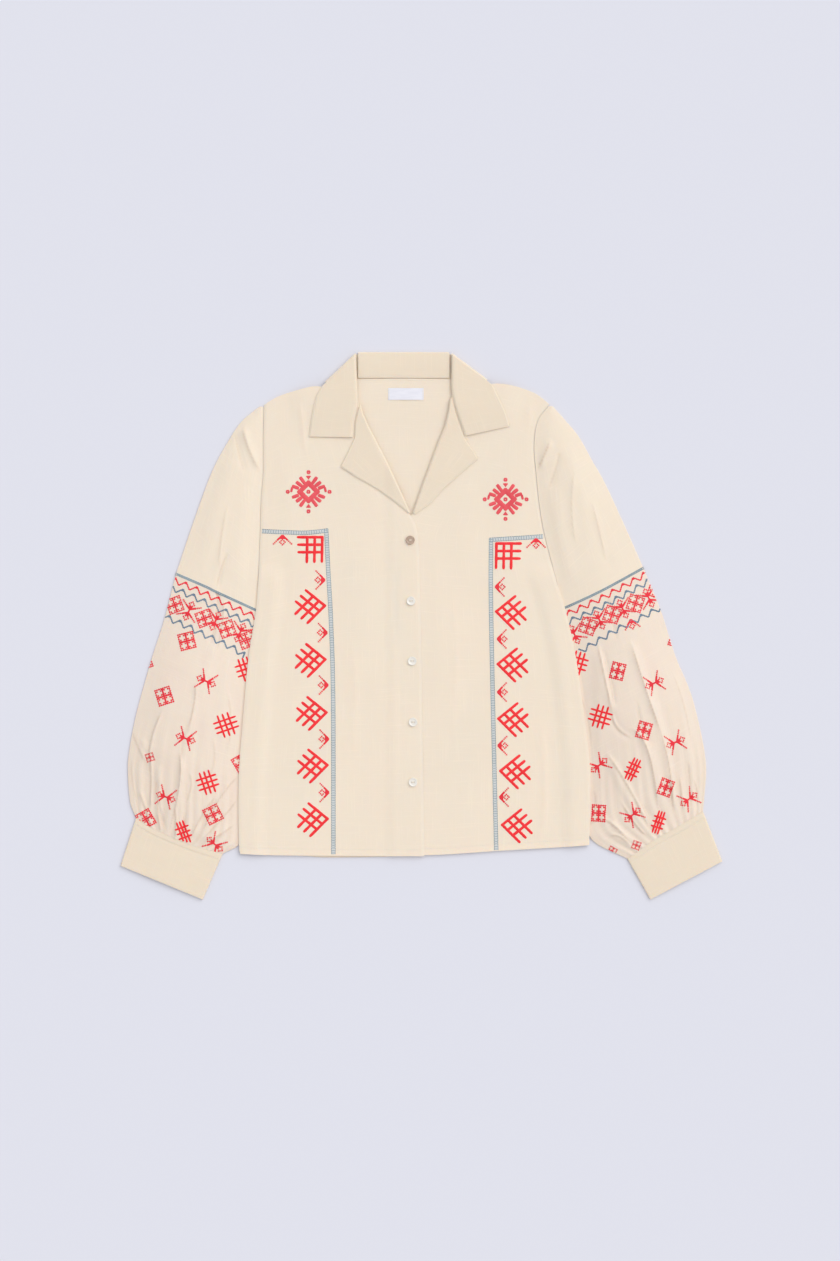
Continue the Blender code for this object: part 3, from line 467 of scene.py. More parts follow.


# %% Fine creases, by their places in the picture, with painted shade beside them
CREASE_SHARPNESS = 1.25
CREASE_NARROW = 0.75
CREASE_TALL = 1.4
# The next three set a painted shade line beside each of the creases: the crest height that gives full shade,
# the line's width in mm, and its shift in picture pixels to the lower left, away from the light.
CREASE_FOR_FULL_SHADE = 1.5
CREASE_SHADE_WIDTH = 1.3
SHADE_BESIDE_CREASE = (-0.9, 0.5)
CREASES = {
    "right": [
        (217, 588, 218, 612, 211, 648, 4, -2.2), (224, 600, 224, 622, 219, 650, 4, 1.3),
        (196.5, 684, 196, 702, 189, 732, 3.6, 1.5), (190, 722, 184, 742, 182, 762, 2.6, -0.8),
        (163, 711, 154, 734, 150, 756, 2.6, 1.5), (150.5, 752, 152, 780, 150, 812, 2.4, 1.6),
        (159.5, 778, 158, 800, 167.5, 833, 2.6, -1.5), (180, 750, 181, 783, 169.5, 834, 2.8, 1.7),
        (132.5, 729, 138, 744, 147, 762, 3, 1.3), (219, 794, 205, 812, 192, 838, 2.8, 1.6),
        (239.5, 776, 222, 797, 201, 837, 3.2, 1.9), (238, 799, 224, 817, 203, 839, 2.8, 1.5),
        (236.5, 823, 221, 834, 207, 841, 2.6, 1.3), (190.5, 771, 192.5, 786, 187, 803, 2.4, 1),
        (176, 806, 177, 822, 176, 838, 2.2, 1.3), (186, 812, 184, 826, 183, 840, 2.2, -1.2),
        (158, 812, 160, 822, 161, 831, 2.2, 1.2), (140, 790, 146, 808, 152, 826, 2.6, 1.4),
        (133, 758, 134, 782, 141, 812, 3, -1.1), (228, 690, 232, 722, 228, 752, 4, 0.9),
        (214, 738, 216, 758, 210, 778, 3, 0.8), (146, 640, 142, 672, 138, 702, 3.6, 0.8)],
    "left": [
        (597, 642, 605, 680, 612, 714, 3.2, 1.6), (612, 712, 617, 727, 632, 737, 2.8, 1.4),
        (603, 648, 611, 684, 614, 706, 3, -1.1), (631, 729, 648, 752, 658.5, 815, 2.8, 1.9),
        (630.5, 641, 646, 690, 662, 735, 3.2, 1.8), (660, 730, 670, 770, 673, 810, 2.8, 1.7),
        (606, 753, 628, 786, 650, 830, 2.8, 1.7), (588.5, 829, 604, 819, 631, 843.5, 2.6, 1.5),
        (610, 836, 619, 836, 630, 846, 2.2, 1.2), (667.5, 775, 671, 795, 674, 812, 2.2, -1.2),
        (694, 778, 698, 792, 698, 804, 2.4, 1.2), (640, 800, 648, 816, 652, 830, 2.4, -1.2),
        (620, 800, 634, 822, 645, 834, 2.4, 1.3), (680, 776, 682, 794, 684, 809, 2.2, 1.2),
        (688, 760, 690, 784, 691, 806, 2.2, -1), (594, 788, 596, 806, 590, 824, 3, 1.1),
        (578, 690, 588, 716, 592, 748, 3.4, 1), (672, 670, 684, 704, 692, 744, 3.6, 0.9),
        (606, 596, 612, 616, 616, 640, 4, -1.2), (636, 700, 641, 724, 650, 742, 2.6, -1)]}
CAP_CREASES = {
    "right": [
        (243, 426, 250, 450, 261.5, 472, 3.6, 1.4), (236, 432, 240, 452, 246, 474, 5, -1),
        (228, 505, 222, 540, 220, 568, 5, 0.8), (229, 552, 222, 570, 218, 588, 4.5, -1.2)],
    "left": [
        (551, 440, 545, 455, 538, 469, 3.6, 1.5), (560, 452, 556, 470, 549, 488, 4.6, -1.1),
        (592, 500, 600, 532, 606, 560, 5, 0.9), (575, 470, 572, 505, 576, 545, 6, 0.9)]}
BODY_CREASES = [
    (529, 400, 530, 432, 527, 470, 5, 0.9), (299, 405, 303, 425, 304, 452, 5, 0.7),
    (258, 470, 264, 500, 262, 540, 5, 0.6), (540, 720, 545, 780, 543, 840, 7, 0.7),
    (398, 560, 396, 600, 398, 650, 5, -0.4), (402, 630, 401, 740, 402, 856, 2.2, -0.35),
    (352, 640, 356, 700, 352, 760, 8, 0.5), (452, 580, 456, 660, 452, 740, 8, 0.5)]


def crests_on_table(rows, beside=(0.0, 0.0)):
    """Crease rows with their picture places turned into places on the table."""
    return [(*from_picture(np.array(row[:6]).reshape(3, 2) + beside).ravel(), *row[6:]) for row in rows]


def crease_height(x, y, rows):
    """Sharper crests than the folds, from tables of picture places with width and height in mm."""
    crests = [(*row[:6], row[6] * CREASE_NARROW, row[7] * CREASE_TALL) for row in crests_on_table(rows)]
    return fold_height(x, y, crests, CREASE_SHARPNESS)


def crease_shade_lines(x, y, rows):
    """Where painted shade lies beside the creases, from 0 to 1: a thin line on their side away from the
    light.
    """
    crests = [(*row[:6], CREASE_SHADE_WIDTH, min(1.0, abs(row[7]) / CREASE_FOR_FULL_SHADE))
              for row in crests_on_table(rows, SHADE_BESIDE_CREASE)]
    return np.clip(fold_height(x, y, crests), 0.0, 1.0)


# %% Heights of the back and the fronts
def side_lift(inside, y):
    """How far the body's side is raised by the sleeve edge tucked under it."""
    start = smoothstep((LIFT_START_Y - y) / (LIFT_START_Y - UNDERARM_Y))
    return SIDE_LIFT * start * smoothstep(1.0 - (inside - SLEEVE_TUCK - 3.0) / SIDE_RAMP)


def back_bottom(x, y):
    """Underside of the back: on the table, but over the tucked sleeves and the collar."""
    lift = np.maximum(side_lift(within("right", x, y), y), side_lift(within("left", x, y), y))
    over_collar = (COLLAR_WALL + GAP) * smoothstep(1.0 + (y - COLLAR_FALL_EDGE_Y + 3.0) / NECK_LIFT_RAMP)
    for from_end in (x - COLLAR_LIFT_X[0], COLLAR_LIFT_X[1] - x):
        over_collar = over_collar * smoothstep(from_end / COLLAR_LIFT_RAMP)
    return np.maximum(lift, over_collar)


def front_bottom(x, y):
    """Underside of the fronts: clear of the back, with air and soft folds between."""
    inside = within_both(x, y)
    fade = smoothstep(inside / PILLOW_RAMP)
    air = fade * (PILLOW + np.maximum(fold_height(x, y, FRONT_FOLDS), -PILLOW))
    rise = np.clip(back_bottom(x, y) / SIDE_LIFT, 0.0, 1.0)
    ease = LIFT_EASE * 4.0 * rise * (1.0 - rise) * smoothstep(inside / EASE_RAMP)
    return back_bottom(x, y) + WALL + GAP + air + ease


def front_right_bottom(x, y):
    """The right front also climbs over the edge of the left front at the centre."""
    step = OVERLAP_STEP * smoothstep(1.0 - (CLIMB_X - x) / OVERLAP_RAMP)
    return front_bottom(x, y) + step


FRONT_UNDERSIDE = {"right": front_right_bottom, "left": front_bottom}

# %% [markdown]
# ## The cloth
# The blouse is a soft matt plain weave with slubs: now and then a thread is thicker for a few
# centimetres. Close up, threads cross every half millimetre. The weave is bump from two bands of
# waves that follow the cloth's own map, the slubs are long thin noise in both directions, and a
# little sheen gives the fuzzy edge that such cloth has. Some light goes through thin cloth, which
# keeps the shadows at its folds and edges warm, so the finish scatters a little light inside.

# %% A slub weave
THREADS_PER_METRE = 1900.0
CREAM = (0.926, 0.776, 0.622)
CREAM_SHADE = tuple(c * 0.965 for c in CREAM)
SLEEVE_CREAM = (0.903, 0.752, 0.618)
SLEEVE_SHADE = (0.885, 0.722, 0.600)
SLEEVE_BLUSH = 0.32
# Painted shade: the collar, lapels, stand and cuffs are made darker than the body cream, standing in for how
# the light falls on them; the second colour is a random darker tone of it.
FLAP_CREAM_SHADED = tuple(c * share for c, share in zip(CREAM, (0.935, 0.945, 0.925)))
FLAP_SHADED_TONE = tuple(c * 0.97 for c in FLAP_CREAM_SHADED)
PINK = (0.93, 0.70, 0.60, 1.0)
# Painted shade: a warm brown that the cloth colour is mixed towards beside the sleeves' creases and in their
# gathers, up to this share.
CREASE_SHADE_COLOUR = (0.60, 0.43, 0.30, 1.0)
CREASE_SHADE_SHARE = 0.42
WARP_SLUBS = (620.0, 17.0, 1.0)
WEFT_SLUBS = (19.0, 640.0, 1.0)
SHADE_PATCHES = (14.0, 11.0, 1.0)
PINK_PATCHES = (9.0, 6.0, 1.0)


def link(tree, source, target):
    """Join a node's output to an input; a plain value is filled in instead."""
    if isinstance(source, bpy.types.NodeSocket):
        tree.links.new(source, target)
    else:
        target.default_value = source


def flat_places(tree, map_name):
    """The output that tells where on a flat map each place of the surface is."""
    places = tree.nodes.new("ShaderNodeUVMap")
    places.uv_map = map_name
    return places.outputs["UV"]


def stretched_noise(tree, coordinates, scale, detail):
    """Noise drawn out along one thread direction."""
    spread = tree.nodes.new("ShaderNodeMapping")
    noise = tree.nodes.new("ShaderNodeTexNoise")
    fill_in(spread, Scale=scale)
    fill_in(noise, Scale=1.0, Detail=detail)
    link(tree, coordinates, spread.inputs["Vector"])
    link(tree, spread.outputs["Vector"], noise.inputs["Vector"])
    return noise.outputs["Fac"]


def mixed(tree, share, first, second):
    mix = tree.nodes.new("ShaderNodeMix")
    mix.data_type = "RGBA"
    for title, value in (("Factor", share), ("A", first), ("B", second)):
        link(tree, value, mix.inputs[title])
    return mix.outputs["Result"]


def ranged(tree, value, low, high, to_low, to_high):
    spread = tree.nodes.new("ShaderNodeMapRange")
    fill_in(spread, From_Min=low, From_Max=high, To_Min=to_low, To_Max=to_high)
    link(tree, value, spread.inputs["Value"])
    return spread.outputs["Result"]


def calculated(tree, kind, first, second):
    node = tree.nodes.new("ShaderNodeMath")
    node.operation = kind
    link(tree, first, node.inputs[0])
    link(tree, second, node.inputs[1])
    return node.outputs["Value"]


def thread_wave(tree, coordinates, direction, threads_per_metre):
    wave = tree.nodes.new("ShaderNodeTexWave")
    wave.wave_type = "BANDS"
    wave.bands_direction = direction
    fill_in(wave, Scale=threads_per_metre / 2.0 / math.pi, Distortion=0.6, Detail=1.0)
    link(tree, coordinates, wave.inputs["Vector"])
    return wave.outputs["Fac"]


def bumped(tree, shader, relief, strength, distance):
    """Small relief that the light shows, without any change of shape."""
    bump = tree.nodes.new("ShaderNodeBump")
    fill_in(bump, Strength=strength, Distance=distance)
    link(tree, relief, bump.inputs["Height"])
    link(tree, bump.outputs["Normal"], shader.inputs["Normal"])


def woven(name, colour, shade, sheen, blush=0.0):
    """Cream slub cloth; blush is how much pink shows through in soft patches."""
    material, tree, shader = new_material(
        name, Sheen_Weight=sheen, Sheen_Roughness=0.6, Specular_IOR_Level=0.25, Subsurface_Weight=0.3,
        Subsurface_Radius=(1.0, 0.72, 0.46), Subsurface_Scale=2.2 * MM)
    places = flat_places(tree, "cloth")
    slubs = calculated(tree, "MAXIMUM", stretched_noise(tree, places, WARP_SLUBS, 2.0),
                       stretched_noise(tree, places, WEFT_SLUBS, 2.0))
    patches = stretched_noise(tree, places, SHADE_PATCHES, 3.0)
    ground = mixed(tree, ranged(tree, patches, 0.35, 0.7, 0.0, 0.5), (*colour, 1.0), (*shade, 1.0))
    if blush > 0.0:
        pink = stretched_noise(tree, places, PINK_PATCHES, 1.0)
        ground = mixed(tree, ranged(tree, pink, 0.5, 0.72, 0.0, blush), ground, PINK)
    # Painted shade: the cloth turns warm brown where the point attribute read here is high, beside creases
    # and in gather valleys.
    crease_shade = tree.nodes.new("ShaderNodeAttribute")
    crease_shade.attribute_name = "crease_shade"
    shade_share = ranged(tree, crease_shade.outputs["Fac"], 0.0, 1.0, 0.0, CREASE_SHADE_SHARE)
    ground = mixed(tree, shade_share, ground, CREASE_SHADE_COLOUR)
    pale = tuple(min(1.0, c * 1.06 + 0.01) for c in colour)
    slub_share = ranged(tree, slubs, 0.56, 0.78, 0.0, 0.55)
    link(tree, mixed(tree, slub_share, ground, (*pale, 1.0)), shader.inputs["Base Color"])
    threads = calculated(tree, "MAXIMUM", thread_wave(tree, places, "X", THREADS_PER_METRE),
                         thread_wave(tree, places, "Y", THREADS_PER_METRE))
    relief = calculated(tree, "ADD", calculated(tree, "MULTIPLY", threads, 0.5), slubs)
    bumped(tree, shader, relief, 0.35, 0.0003)
    link(tree, ranged(tree, slubs, 0.3, 0.8, 0.92, 0.78), shader.inputs["Roughness"])
    return material


cream_cloth = woven("cream slub cloth", CREAM, CREAM_SHADE, 0.25)
sleeve_cloth = woven("cream sleeve cloth", SLEEVE_CREAM, SLEEVE_SHADE, 0.25, SLEEVE_BLUSH)
# The double cloth of the collar, lapels, stand and cuffs carries painted shade in its darker colour.
shaded_flap_cloth = woven("double cloth with painted shade", FLAP_CREAM_SHADED, FLAP_SHADED_TONE, 0.2)
print("cloth colour", CREAM)

# %% [markdown]
# ## The back
# The back is one flat panel. Only its inside shows, in the neck, and its edges at the hem. A grid
# between the armholes, sides, hem and shoulders lies on the table and is raised over the sleeves'
# tucked edges and over the collar where it passes under the neck.

# %% Back panel
ARMHOLE_STEPS = 46
SIDE_STEPS = 76
BACK_COLUMNS = 121


def body_side(side):
    return two_stretches(ARMHOLE[side], SIDE_SEAM[side], ARMHOLE_STEPS, SIDE_STEPS)


shares = np.linspace(0.0, 1.0, BACK_COLUMNS)
back_top = joined(SHOULDER["right"][:-1] + [BACK_NECK[0]], BACK_NECK, [BACK_NECK[-1]] + SHOULDER["left"][1:])
back_plan = coons(at_shares(back_top, shares), at_shares(joined(HEM_BACK), shares), body_side("right"),
                  body_side("left"), shares)
back_low = back_bottom(back_plan[:, :, 0], back_plan[:, :, 1])
back_piece = wall_of("back_panel", back_plan, back_low + WALL, back_low, cream_cloth)
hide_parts("back")

# %% [markdown]
# ## The two fronts
# Each front is a panel from the armhole to the centre edge. It lies over the back with a little air
# and long soft folds. Along the hem the cloth is turned up and stitched, which shows as a slightly
# thicker band with a groove at the stitches.

# %% Front panels
NECK_STEPS = 34
FRONT_COLUMNS = 96
EDGE_POINTS = 80
HEM_BAND = 9.5
HEM_RISE = 0.35
HEM_GROOVE = 0.45
EDGE_ROUND = 0.85
CENTRE_ROUND = 1.05
ROUND_WIDTH = 3.4
CENTRE_ROUND_TOP = 8.0
UNEVEN_RAMP = 30.0


def hem_relief(up):
    """The turned hem: a thicker band, with a groove where it is stitched."""
    band = HEM_RISE * smoothstep((HEM_BAND - up) / 1.2)
    groove = HEM_GROOVE * np.exp(-((up - HEM_BAND + 0.6) / 1.0) ** 2)
    return band - groove


def front_finish(x, y):
    """Small unevenness of laid cloth, on top of its folds."""
    slow = 0.22 * np.sin(x / 31.0 + 0.8 * np.sin(y / 47.0)) * np.sin(y / 63.0 + 1.3)
    quick = 0.10 * np.sin(x / 11.0 + 1.2 * np.sin(y / 83.0) + 0.4)
    return slow + quick


def front_panel(side):
    rows = ARMHOLE_STEPS + SIDE_STEPS - NECK_STEPS
    edges = [body_side(side), two_stretches(NECK_EDGE[side], FRONT_EDGE[side], NECK_STEPS, rows)]
    left, right = edges if side == "right" else edges[::-1]
    shares = np.linspace(0.0, 1.0, FRONT_COLUMNS)
    hem_line = curve(HEM_FRONT[side], EDGE_POINTS)
    shoulder = at_shares(curve(SHOULDER[side], EDGE_POINTS), shares)
    plan = coons(shoulder, at_shares(hem_line, shares), left, right, shares)
    x, y = plan[:, :, 0], plan[:, :, 1]
    inside = within_both(x, y)
    low = FRONT_UNDERSIDE[side](x, y)
    unevenness = front_finish(x, y) + np.maximum(crease_height(x, y, BODY_CREASES), -0.5 * WALL)
    high = low + WALL + hem_relief(y - np.interp(x, *hem_line.T))
    high += unevenness * smoothstep(inside / UNEVEN_RAMP)
    high -= EDGE_ROUND * (1.0 - smoothstep(inside / ROUND_WIDTH))
    if side == "right":
        edge = curve(FRONT_EDGE["right"], 40)
        from_centre = np.interp(-y, -edge[:, 1], edge[:, 0]) - x
        rounded = CENTRE_ROUND * (1.0 - smoothstep(from_centre / ROUND_WIDTH))
        high -= rounded * (y < edge[0, 1] + CENTRE_ROUND_TOP)
    return wall_of("front_panel_" + side, plan, high, low, cream_cloth)


fronts = {}
for side in SIDES:
    fronts[side] = front_panel(side)
    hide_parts("front_" + side)

# %% [markdown]
# ## Lapels and collar
# The lapels are the fronts' facings, turned out along the roll line. The collar is one folded piece:
# a leaf on each front, and between them a fall that passes under the back of the neck. Each row of
# the tables joins the roll line to the outer edge, and the cloth stands a little full at the roll.

# %% Lapel tables
LAPEL = {
    "right": [
        (-82, 300, -85, 297), (-79, 288, -90, 276), (-72, 272, -91, 255), (-66, 261, -100, 236),
        (-58, 245, -110, 216), (-46, 222, -89, 202), (-34, 196, -60, 185), (-24, 174, -35, 167),
        (-15, 154, -18, 153)],
    "left": [
        (39, 310, 42, 304), (37, 293, 50, 277), (32, 272, 58, 256), (28, 262, 67, 242), (21, 245, 77, 227),
        (11, 218, 53, 206), (2, 194, 26, 181), (-5, 174, 12, 165), (-12, 154, -8, 151)]}
COLLAR_PUFF = 1.1
FLAP_ROUND = 1.0
FLAP_ROUND_WIDTH = 2.4
ROLL_SINK = 0.45
FLAP_POINTS = 52
FLAP_STEPS = 10


def linear_rows(table, steps):
    """Rows added evenly between the given ones, so that points stay sharp."""
    rows = np.array(table, float)
    at = np.arange(0, (len(rows) - 1) * steps + 1) / steps
    return np.column_stack([np.interp(at, np.arange(len(rows)), rows[:, k]) for k in range(rows.shape[1])])


def flap_grid(rows, base):
    """A flap lying on a front, a little full where it rolls over: its plan, top and bottom."""
    roll, edge = rows[:, :2], rows[:, 2:]
    spots = 0.5 - 0.5 * np.cos(np.pi * np.linspace(0.0, 1.0, FLAP_POINTS))
    plan = roll[:, None] + (edge - roll)[:, None] * spots[None, :, None]
    width = np.hypot(*(edge - roll).T)[:, None]
    rest = base(plan[:, :, 0], plan[:, :, 1]) + WALL + FLAP_GAP
    fullness = COLLAR_PUFF * np.minimum(width / 30.0, 1.0)
    puff = fullness * (1.0 - spots[None]) ** 1.5 * smoothstep(0.35 + spots[None] * 6.0)
    sink = ROLL_SINK * (1.0 - smoothstep(spots[None] * width / FLAP_ROUND_WIDTH))
    bottom = rest + puff - sink
    from_edge = np.minimum(spots[None], 1.0 - spots[None]) * width
    top = bottom + COLLAR_WALL - FLAP_ROUND * (1.0 - smoothstep(from_edge / FLAP_ROUND_WIDTH))
    return plan, top, bottom


lapels = {}
for side in SIDES:
    grid = flap_grid(linear_rows(LAPEL[side], FLAP_STEPS), FRONT_UNDERSIDE[side])
    lapels[side] = wall_of("lapel_" + side + "_cloth", *grid, shaded_flap_cloth)
    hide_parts("lapel_" + side)

# %% Collar
COLLAR_RIGHT_LEAF = [
    (-93, 256, -153, 257), (-91, 277, -149, 285), (-87, 298, -144, 308), (-87, 322, -139, 319),
    (-88, 345, -135, 325), (-89, 367, -131, 329)]
COLLAR_UNDER_BACK = [
    (-87, 369, -127, 330), (-70, 370, -100, 322), (-45, 370, -60, 318), (-24, 370, -24, 317),
    (0, 370, 15, 318), (24, 370, 58, 322), (39, 369, 86, 333)]
COLLAR_LEFT_LEAF = [
    (41, 367, 90, 332), (41, 345, 97, 326), (41, 322, 102, 316), (45, 300, 108, 304), (52, 278, 115, 288),
    (59, 258, 120, 271)]
LEAF_STEPS = 12
UNDER_STEPS = 8
FOLD_REACH = 3.0
FOLD_OUTWARD = {"right": np.array([-0.68, 0.74]), "left": np.array([0.62, 0.78])}
FOLD_TURNS = (72.0, 54.0, 36.0, 18.0, 0.0, -18.0, -36.0, -54.0, -72.0)


def collar_base(x, y):
    """What the collar leaves lie on: the fronts, carried on level past their neck edges."""
    return np.where(x < -25.0, front_right_bottom(np.minimum(x, -60.0), y), front_bottom(x, y))


def collar_fold(before, after, high, outward):
    """Rows round the fold where the collar passes from a leaf to under the back."""
    middle = (before + after) / 2
    rows = []
    for turn in FOLD_TURNS:
        c, s = aim(turn)
        outside = np.column_stack([middle + outward * FOLD_REACH * c, high / 2 * (1.0 + s)])
        inside = np.column_stack([middle + outward * (FOLD_REACH - COLLAR_WALL) * c,
                                  high / 2 + (high / 2 - COLLAR_WALL) * s])
        rows.append((outside, inside))
    return rows


def leaf_rows(table):
    plan, top, bottom = flap_grid(smooth_rows(table, LEAF_STEPS), collar_base)
    return plan, np.dstack([plan, top]), np.dstack([plan, bottom])


right_plan, right_upper, right_lower = leaf_rows(COLLAR_RIGHT_LEAF)
left_plan, left_upper, left_lower = leaf_rows(COLLAR_LEFT_LEAF)
under_plan = flap_grid(smooth_rows(COLLAR_UNDER_BACK, UNDER_STEPS), collar_base)[0]
under_upper = np.dstack([under_plan, np.zeros(under_plan.shape[:2])])
under_lower = np.dstack([under_plan, np.full(under_plan.shape[:2], COLLAR_WALL)])
right_turn = collar_fold(right_plan[-1], under_plan[0], right_upper[-1, :, 2], FOLD_OUTWARD["right"])
left_turn = collar_fold(under_plan[-1], left_plan[0], left_upper[0, :, 2], FOLD_OUTWARD["left"])[::-1]
uppers = (right_upper, [out for out, _ in right_turn], under_upper, [out for out, _ in left_turn], left_upper)
lowers = (right_lower, [low for _, low in right_turn], under_lower, [low for _, low in left_turn], left_lower)
collar_piece = cloth_piece("collar_cloth", np.concatenate(uppers), np.concatenate(lowers), shaded_flap_cloth,
                           "cloth")
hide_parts("collar")

# %% [markdown]
# ## Stand
# Inside the back of the neck the collar's other half shows as a plain band, from the neck seam up to
# the roll. It is a strip that rises over a soft hump and turns down round the roll.

# %% Collar stand
STAND_X = (-86.0, 38.0)
STAND_SEAM_Y = 336.8
STAND_ROLL_Y = 372.0
STAND_HUMP = 0.75
STAND_COLUMNS = 60
STAND_STEPS = 24
ROLL_STEPS = 13

stand_low = COLLAR_WALL + GAP
stand_radius = (2 * COLLAR_WALL + GAP) / 2
stand_centre = STAND_ROLL_Y - stand_radius
stand_path = []
for share in np.linspace(0.0, 1.0, STAND_STEPS, endpoint=False):
    at_y = STAND_SEAM_Y + share * (stand_centre - STAND_SEAM_Y)
    hump = STAND_HUMP * math.sin(math.pi * share) ** 0.8
    stand_path.append((at_y, stand_low + COLLAR_WALL + hump, at_y, stand_low + hump))
for turn in np.linspace(90.0, -90.0, ROLL_STEPS):
    c, s = aim(turn)
    stand_path.append((stand_centre + stand_radius * c, stand_radius + stand_radius * s,
                       stand_centre + GAP / 2 * c, stand_radius + GAP / 2 * s))
stand_x = np.linspace(*STAND_X, STAND_COLUMNS)
stand_upper = np.array([[(across, *row[:2]) for across in stand_x] for row in stand_path])
stand_lower = np.array([[(across, *row[2:]) for across in stand_x] for row in stand_path])
stand_piece = cloth_piece("collar_stand_cloth", stand_upper, stand_lower, shaded_flap_cloth, "cloth")
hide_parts("collar_stand")

# %% [markdown]
# ## Sleeves
# A sleeve laid flat is a tube whose top arches up and whose underside rests on the table. The upper
# part is a piece with a slot under the body's side; the lower part is a closed tube that is wide in
# the middle and gathered into the cuff. Each row down the sleeve is one flattened section.

# %% Flattened tubes
UPPER_ARCH = 6.5
BAND_ARCH = 6.0
PUFF_ARCH = 15.0
GATHERED_ARCH = 6.0
GATHER_HEIGHT = 1.5
# Painted shade in the gathers' valleys, as a share of full shade.
GATHER_SHADE = 0.35
GATHER_COUNT = 12
GATHER_REACH = 0.55
NO_GATHERS = 2.0
CUFF_ARCH = 1.4
ARMHOLE_GAP = 0.35
COVER_MARGIN = 2.0
FOLD_SHARE = 0.7
LEAST_ARCH = 0.25
SLEEVE_BOTTOMS = 14
FOLD_ROUND = (75.0, 50.0, 25.0, 0.0, -25.0, -50.0, -75.0)


def section(start, end, heights, spots, wall, slit, bottoms, closed):
    """One flattened section as outer and inner points: over the top, round the fold, back below."""
    radius = wall + slit / 2
    small = slit / 2
    span = end - start
    width = np.hypot(*span)
    across = span / width
    last = width - radius if closed else width
    rows = []
    for spot, height in list(zip(spots, heights))[::-1]:
        at = radius + (last - radius) * spot
        rows.append((at, 2 * radius + height, at, 2 * radius + height - wall))
    for turn in FOLD_ROUND:
        c, s = aim(turn)
        rows.append((radius - radius * c, radius + radius * s, radius - small * c, radius + small * s))
    for spot in np.linspace(0.0, 1.0, bottoms):
        at = radius + (last - radius) * spot
        rows.append((at, 0.0, at, wall))
    if closed:
        for turn in FOLD_ROUND[::-1]:
            c, s = aim(turn)
            rows.append((last + radius * c, radius + radius * s, last + small * c, radius + small * s))
    rows = np.array(rows)
    outer = np.column_stack([start + across * rows[:, :1], rows[:, 1]])
    inner = np.column_stack([start + across * rows[:, 2:3], rows[:, 3]])
    return outer, inner


def bent_section(line, heights, spots, wall, slit, bottoms, closed):
    """A section whose plan follows a bent line instead of a straight one."""
    span = line[-1] - line[0]
    bend = line - (line[0] + spots[:, None] * span)
    layers = section(line[0], line[-1], heights, spots, wall, slit, bottoms, closed)
    for points in layers:
        share = np.clip((points[:, :2] - line[0]) @ span / np.hypot(*span) ** 2, 0.0, 1.0)
        points[:, 0] += np.interp(share, spots, bend[:, 0])
        points[:, 1] += np.interp(share, spots, bend[:, 1])
    return layers


def arch_profile(from_outer, from_inner, outside):
    """A soft arch between the outer fold and the body's side or the seam."""
    free = np.minimum(from_inner, np.maximum(outside - COVER_MARGIN, 0.0))
    share = from_outer / np.maximum(from_outer + free, 1e-6)
    return np.sin(np.pi * share)


def gathers(spots, strength):
    """Uneven little pleats across the cuff seam."""
    warped = spots + 0.012 * np.sin(9.0 * spots) + 0.006 * np.sin(23.0 * spots)
    wave = 0.5 - 0.5 * np.cos(2.0 * np.pi * GATHER_COUNT * warped)
    size = 0.75 + 0.25 * np.sin(14.0 * spots + 1.0)
    ends = smoothstep(spots / 0.06) * smoothstep((1.0 - spots) / 0.06)
    return GATHER_HEIGHT * strength * size * wave * ends


def sleeve_piece(start_of_name, side, left, right, seam_top, seam_end, arches, creases, gather_from, closed,
                 material, slot):
    """Sections down a sleeve between two edge lines, with an arch, folds, creases and gathers, and painted
    shade beside the creases and in the gathers' valleys.
    """
    columns = len(seam_top)
    spots = np.linspace(0.0, 1.0, columns)
    plan = np.array([at_shares(line, spots) for line in coons(seam_top, seam_end, left, right, spots)])
    width = np.hypot(*(plan[:, -1:] - plan[:, :1]).T).T
    x, y = plan[:, :, 0], plan[:, :, 1]
    shape = arch_profile(spots * width, (1.0 - spots) * width, -within(side, x, y))
    down = np.linspace(0.0, 1.0, len(left))
    arch = np.interp(down, np.linspace(0.0, 1.0, len(arches)), arches)[:, None]
    waves = FOLD_SHARE * fold_height(x, y, SLEEVE_FOLDS[side]) + crease_height(x, y, creases)
    heights = np.maximum(arch * shape + waves * smoothstep(shape * 2.0), LEAST_ARCH * arch * shape)
    strength = smoothstep((down - gather_from) / GATHER_REACH)[:, None]
    heights += gathers(spots[None], strength) * smoothstep(shape * 3.0)
    sections = [bent_section(plan[i], heights[i], spots, WALL, GAP, SLEEVE_BOTTOMS, closed)
                for i in range(len(plan))]
    outer_grid, inner_grid = (np.array(layer) for layer in zip(*sections))
    # Painted shade: a thin line beside the creases on the upper side, darker still in the gathers' valleys,
    # for the cloth material to darken.
    shade_lines = crease_shade_lines(outer_grid[:, :, 0], outer_grid[:, :, 1], creases)
    shade_lines[:, columns:] = 0.0
    gather_shade = GATHER_SHADE * strength * (1.0 - gathers(spots[None], strength) / GATHER_HEIGHT) ** 4
    shade_lines[:, :columns] = np.clip(shade_lines[:, :columns] + gather_shade[:, ::-1], 0.0, 1.0)
    return cloth_piece(start_of_name + side + "_cloth", outer_grid, inner_grid, material, slot, closed, shade_lines)


# %% Upper and lower sleeves
UPPER_ROWS = 100
ARMHOLE_ROWS = 72
LOWER_ROWS = 165
UPPER_COLUMNS = 120
LOWER_COLUMNS = 175
CAP_ARCH = 0.6
CAP_STEP = np.array([1.0, -2.5])
UPPER_ARCHES = (CAP_ARCH, UPPER_ARCH, UPPER_ARCH, BAND_ARCH)
LOWER_ARCHES = (BAND_ARCH, BAND_ARCH + 3.0, PUFF_ARCH - 1.5, PUFF_ARCH, PUFF_ARCH - 1.0, GATHERED_ARCH + 3.0,
                CUFF_ARCH + 1.4)
sleeve_uppers = {}
sleeve_lowers = {}


def moved(points, shift):
    return [(x, y + shift) for x, y in points]


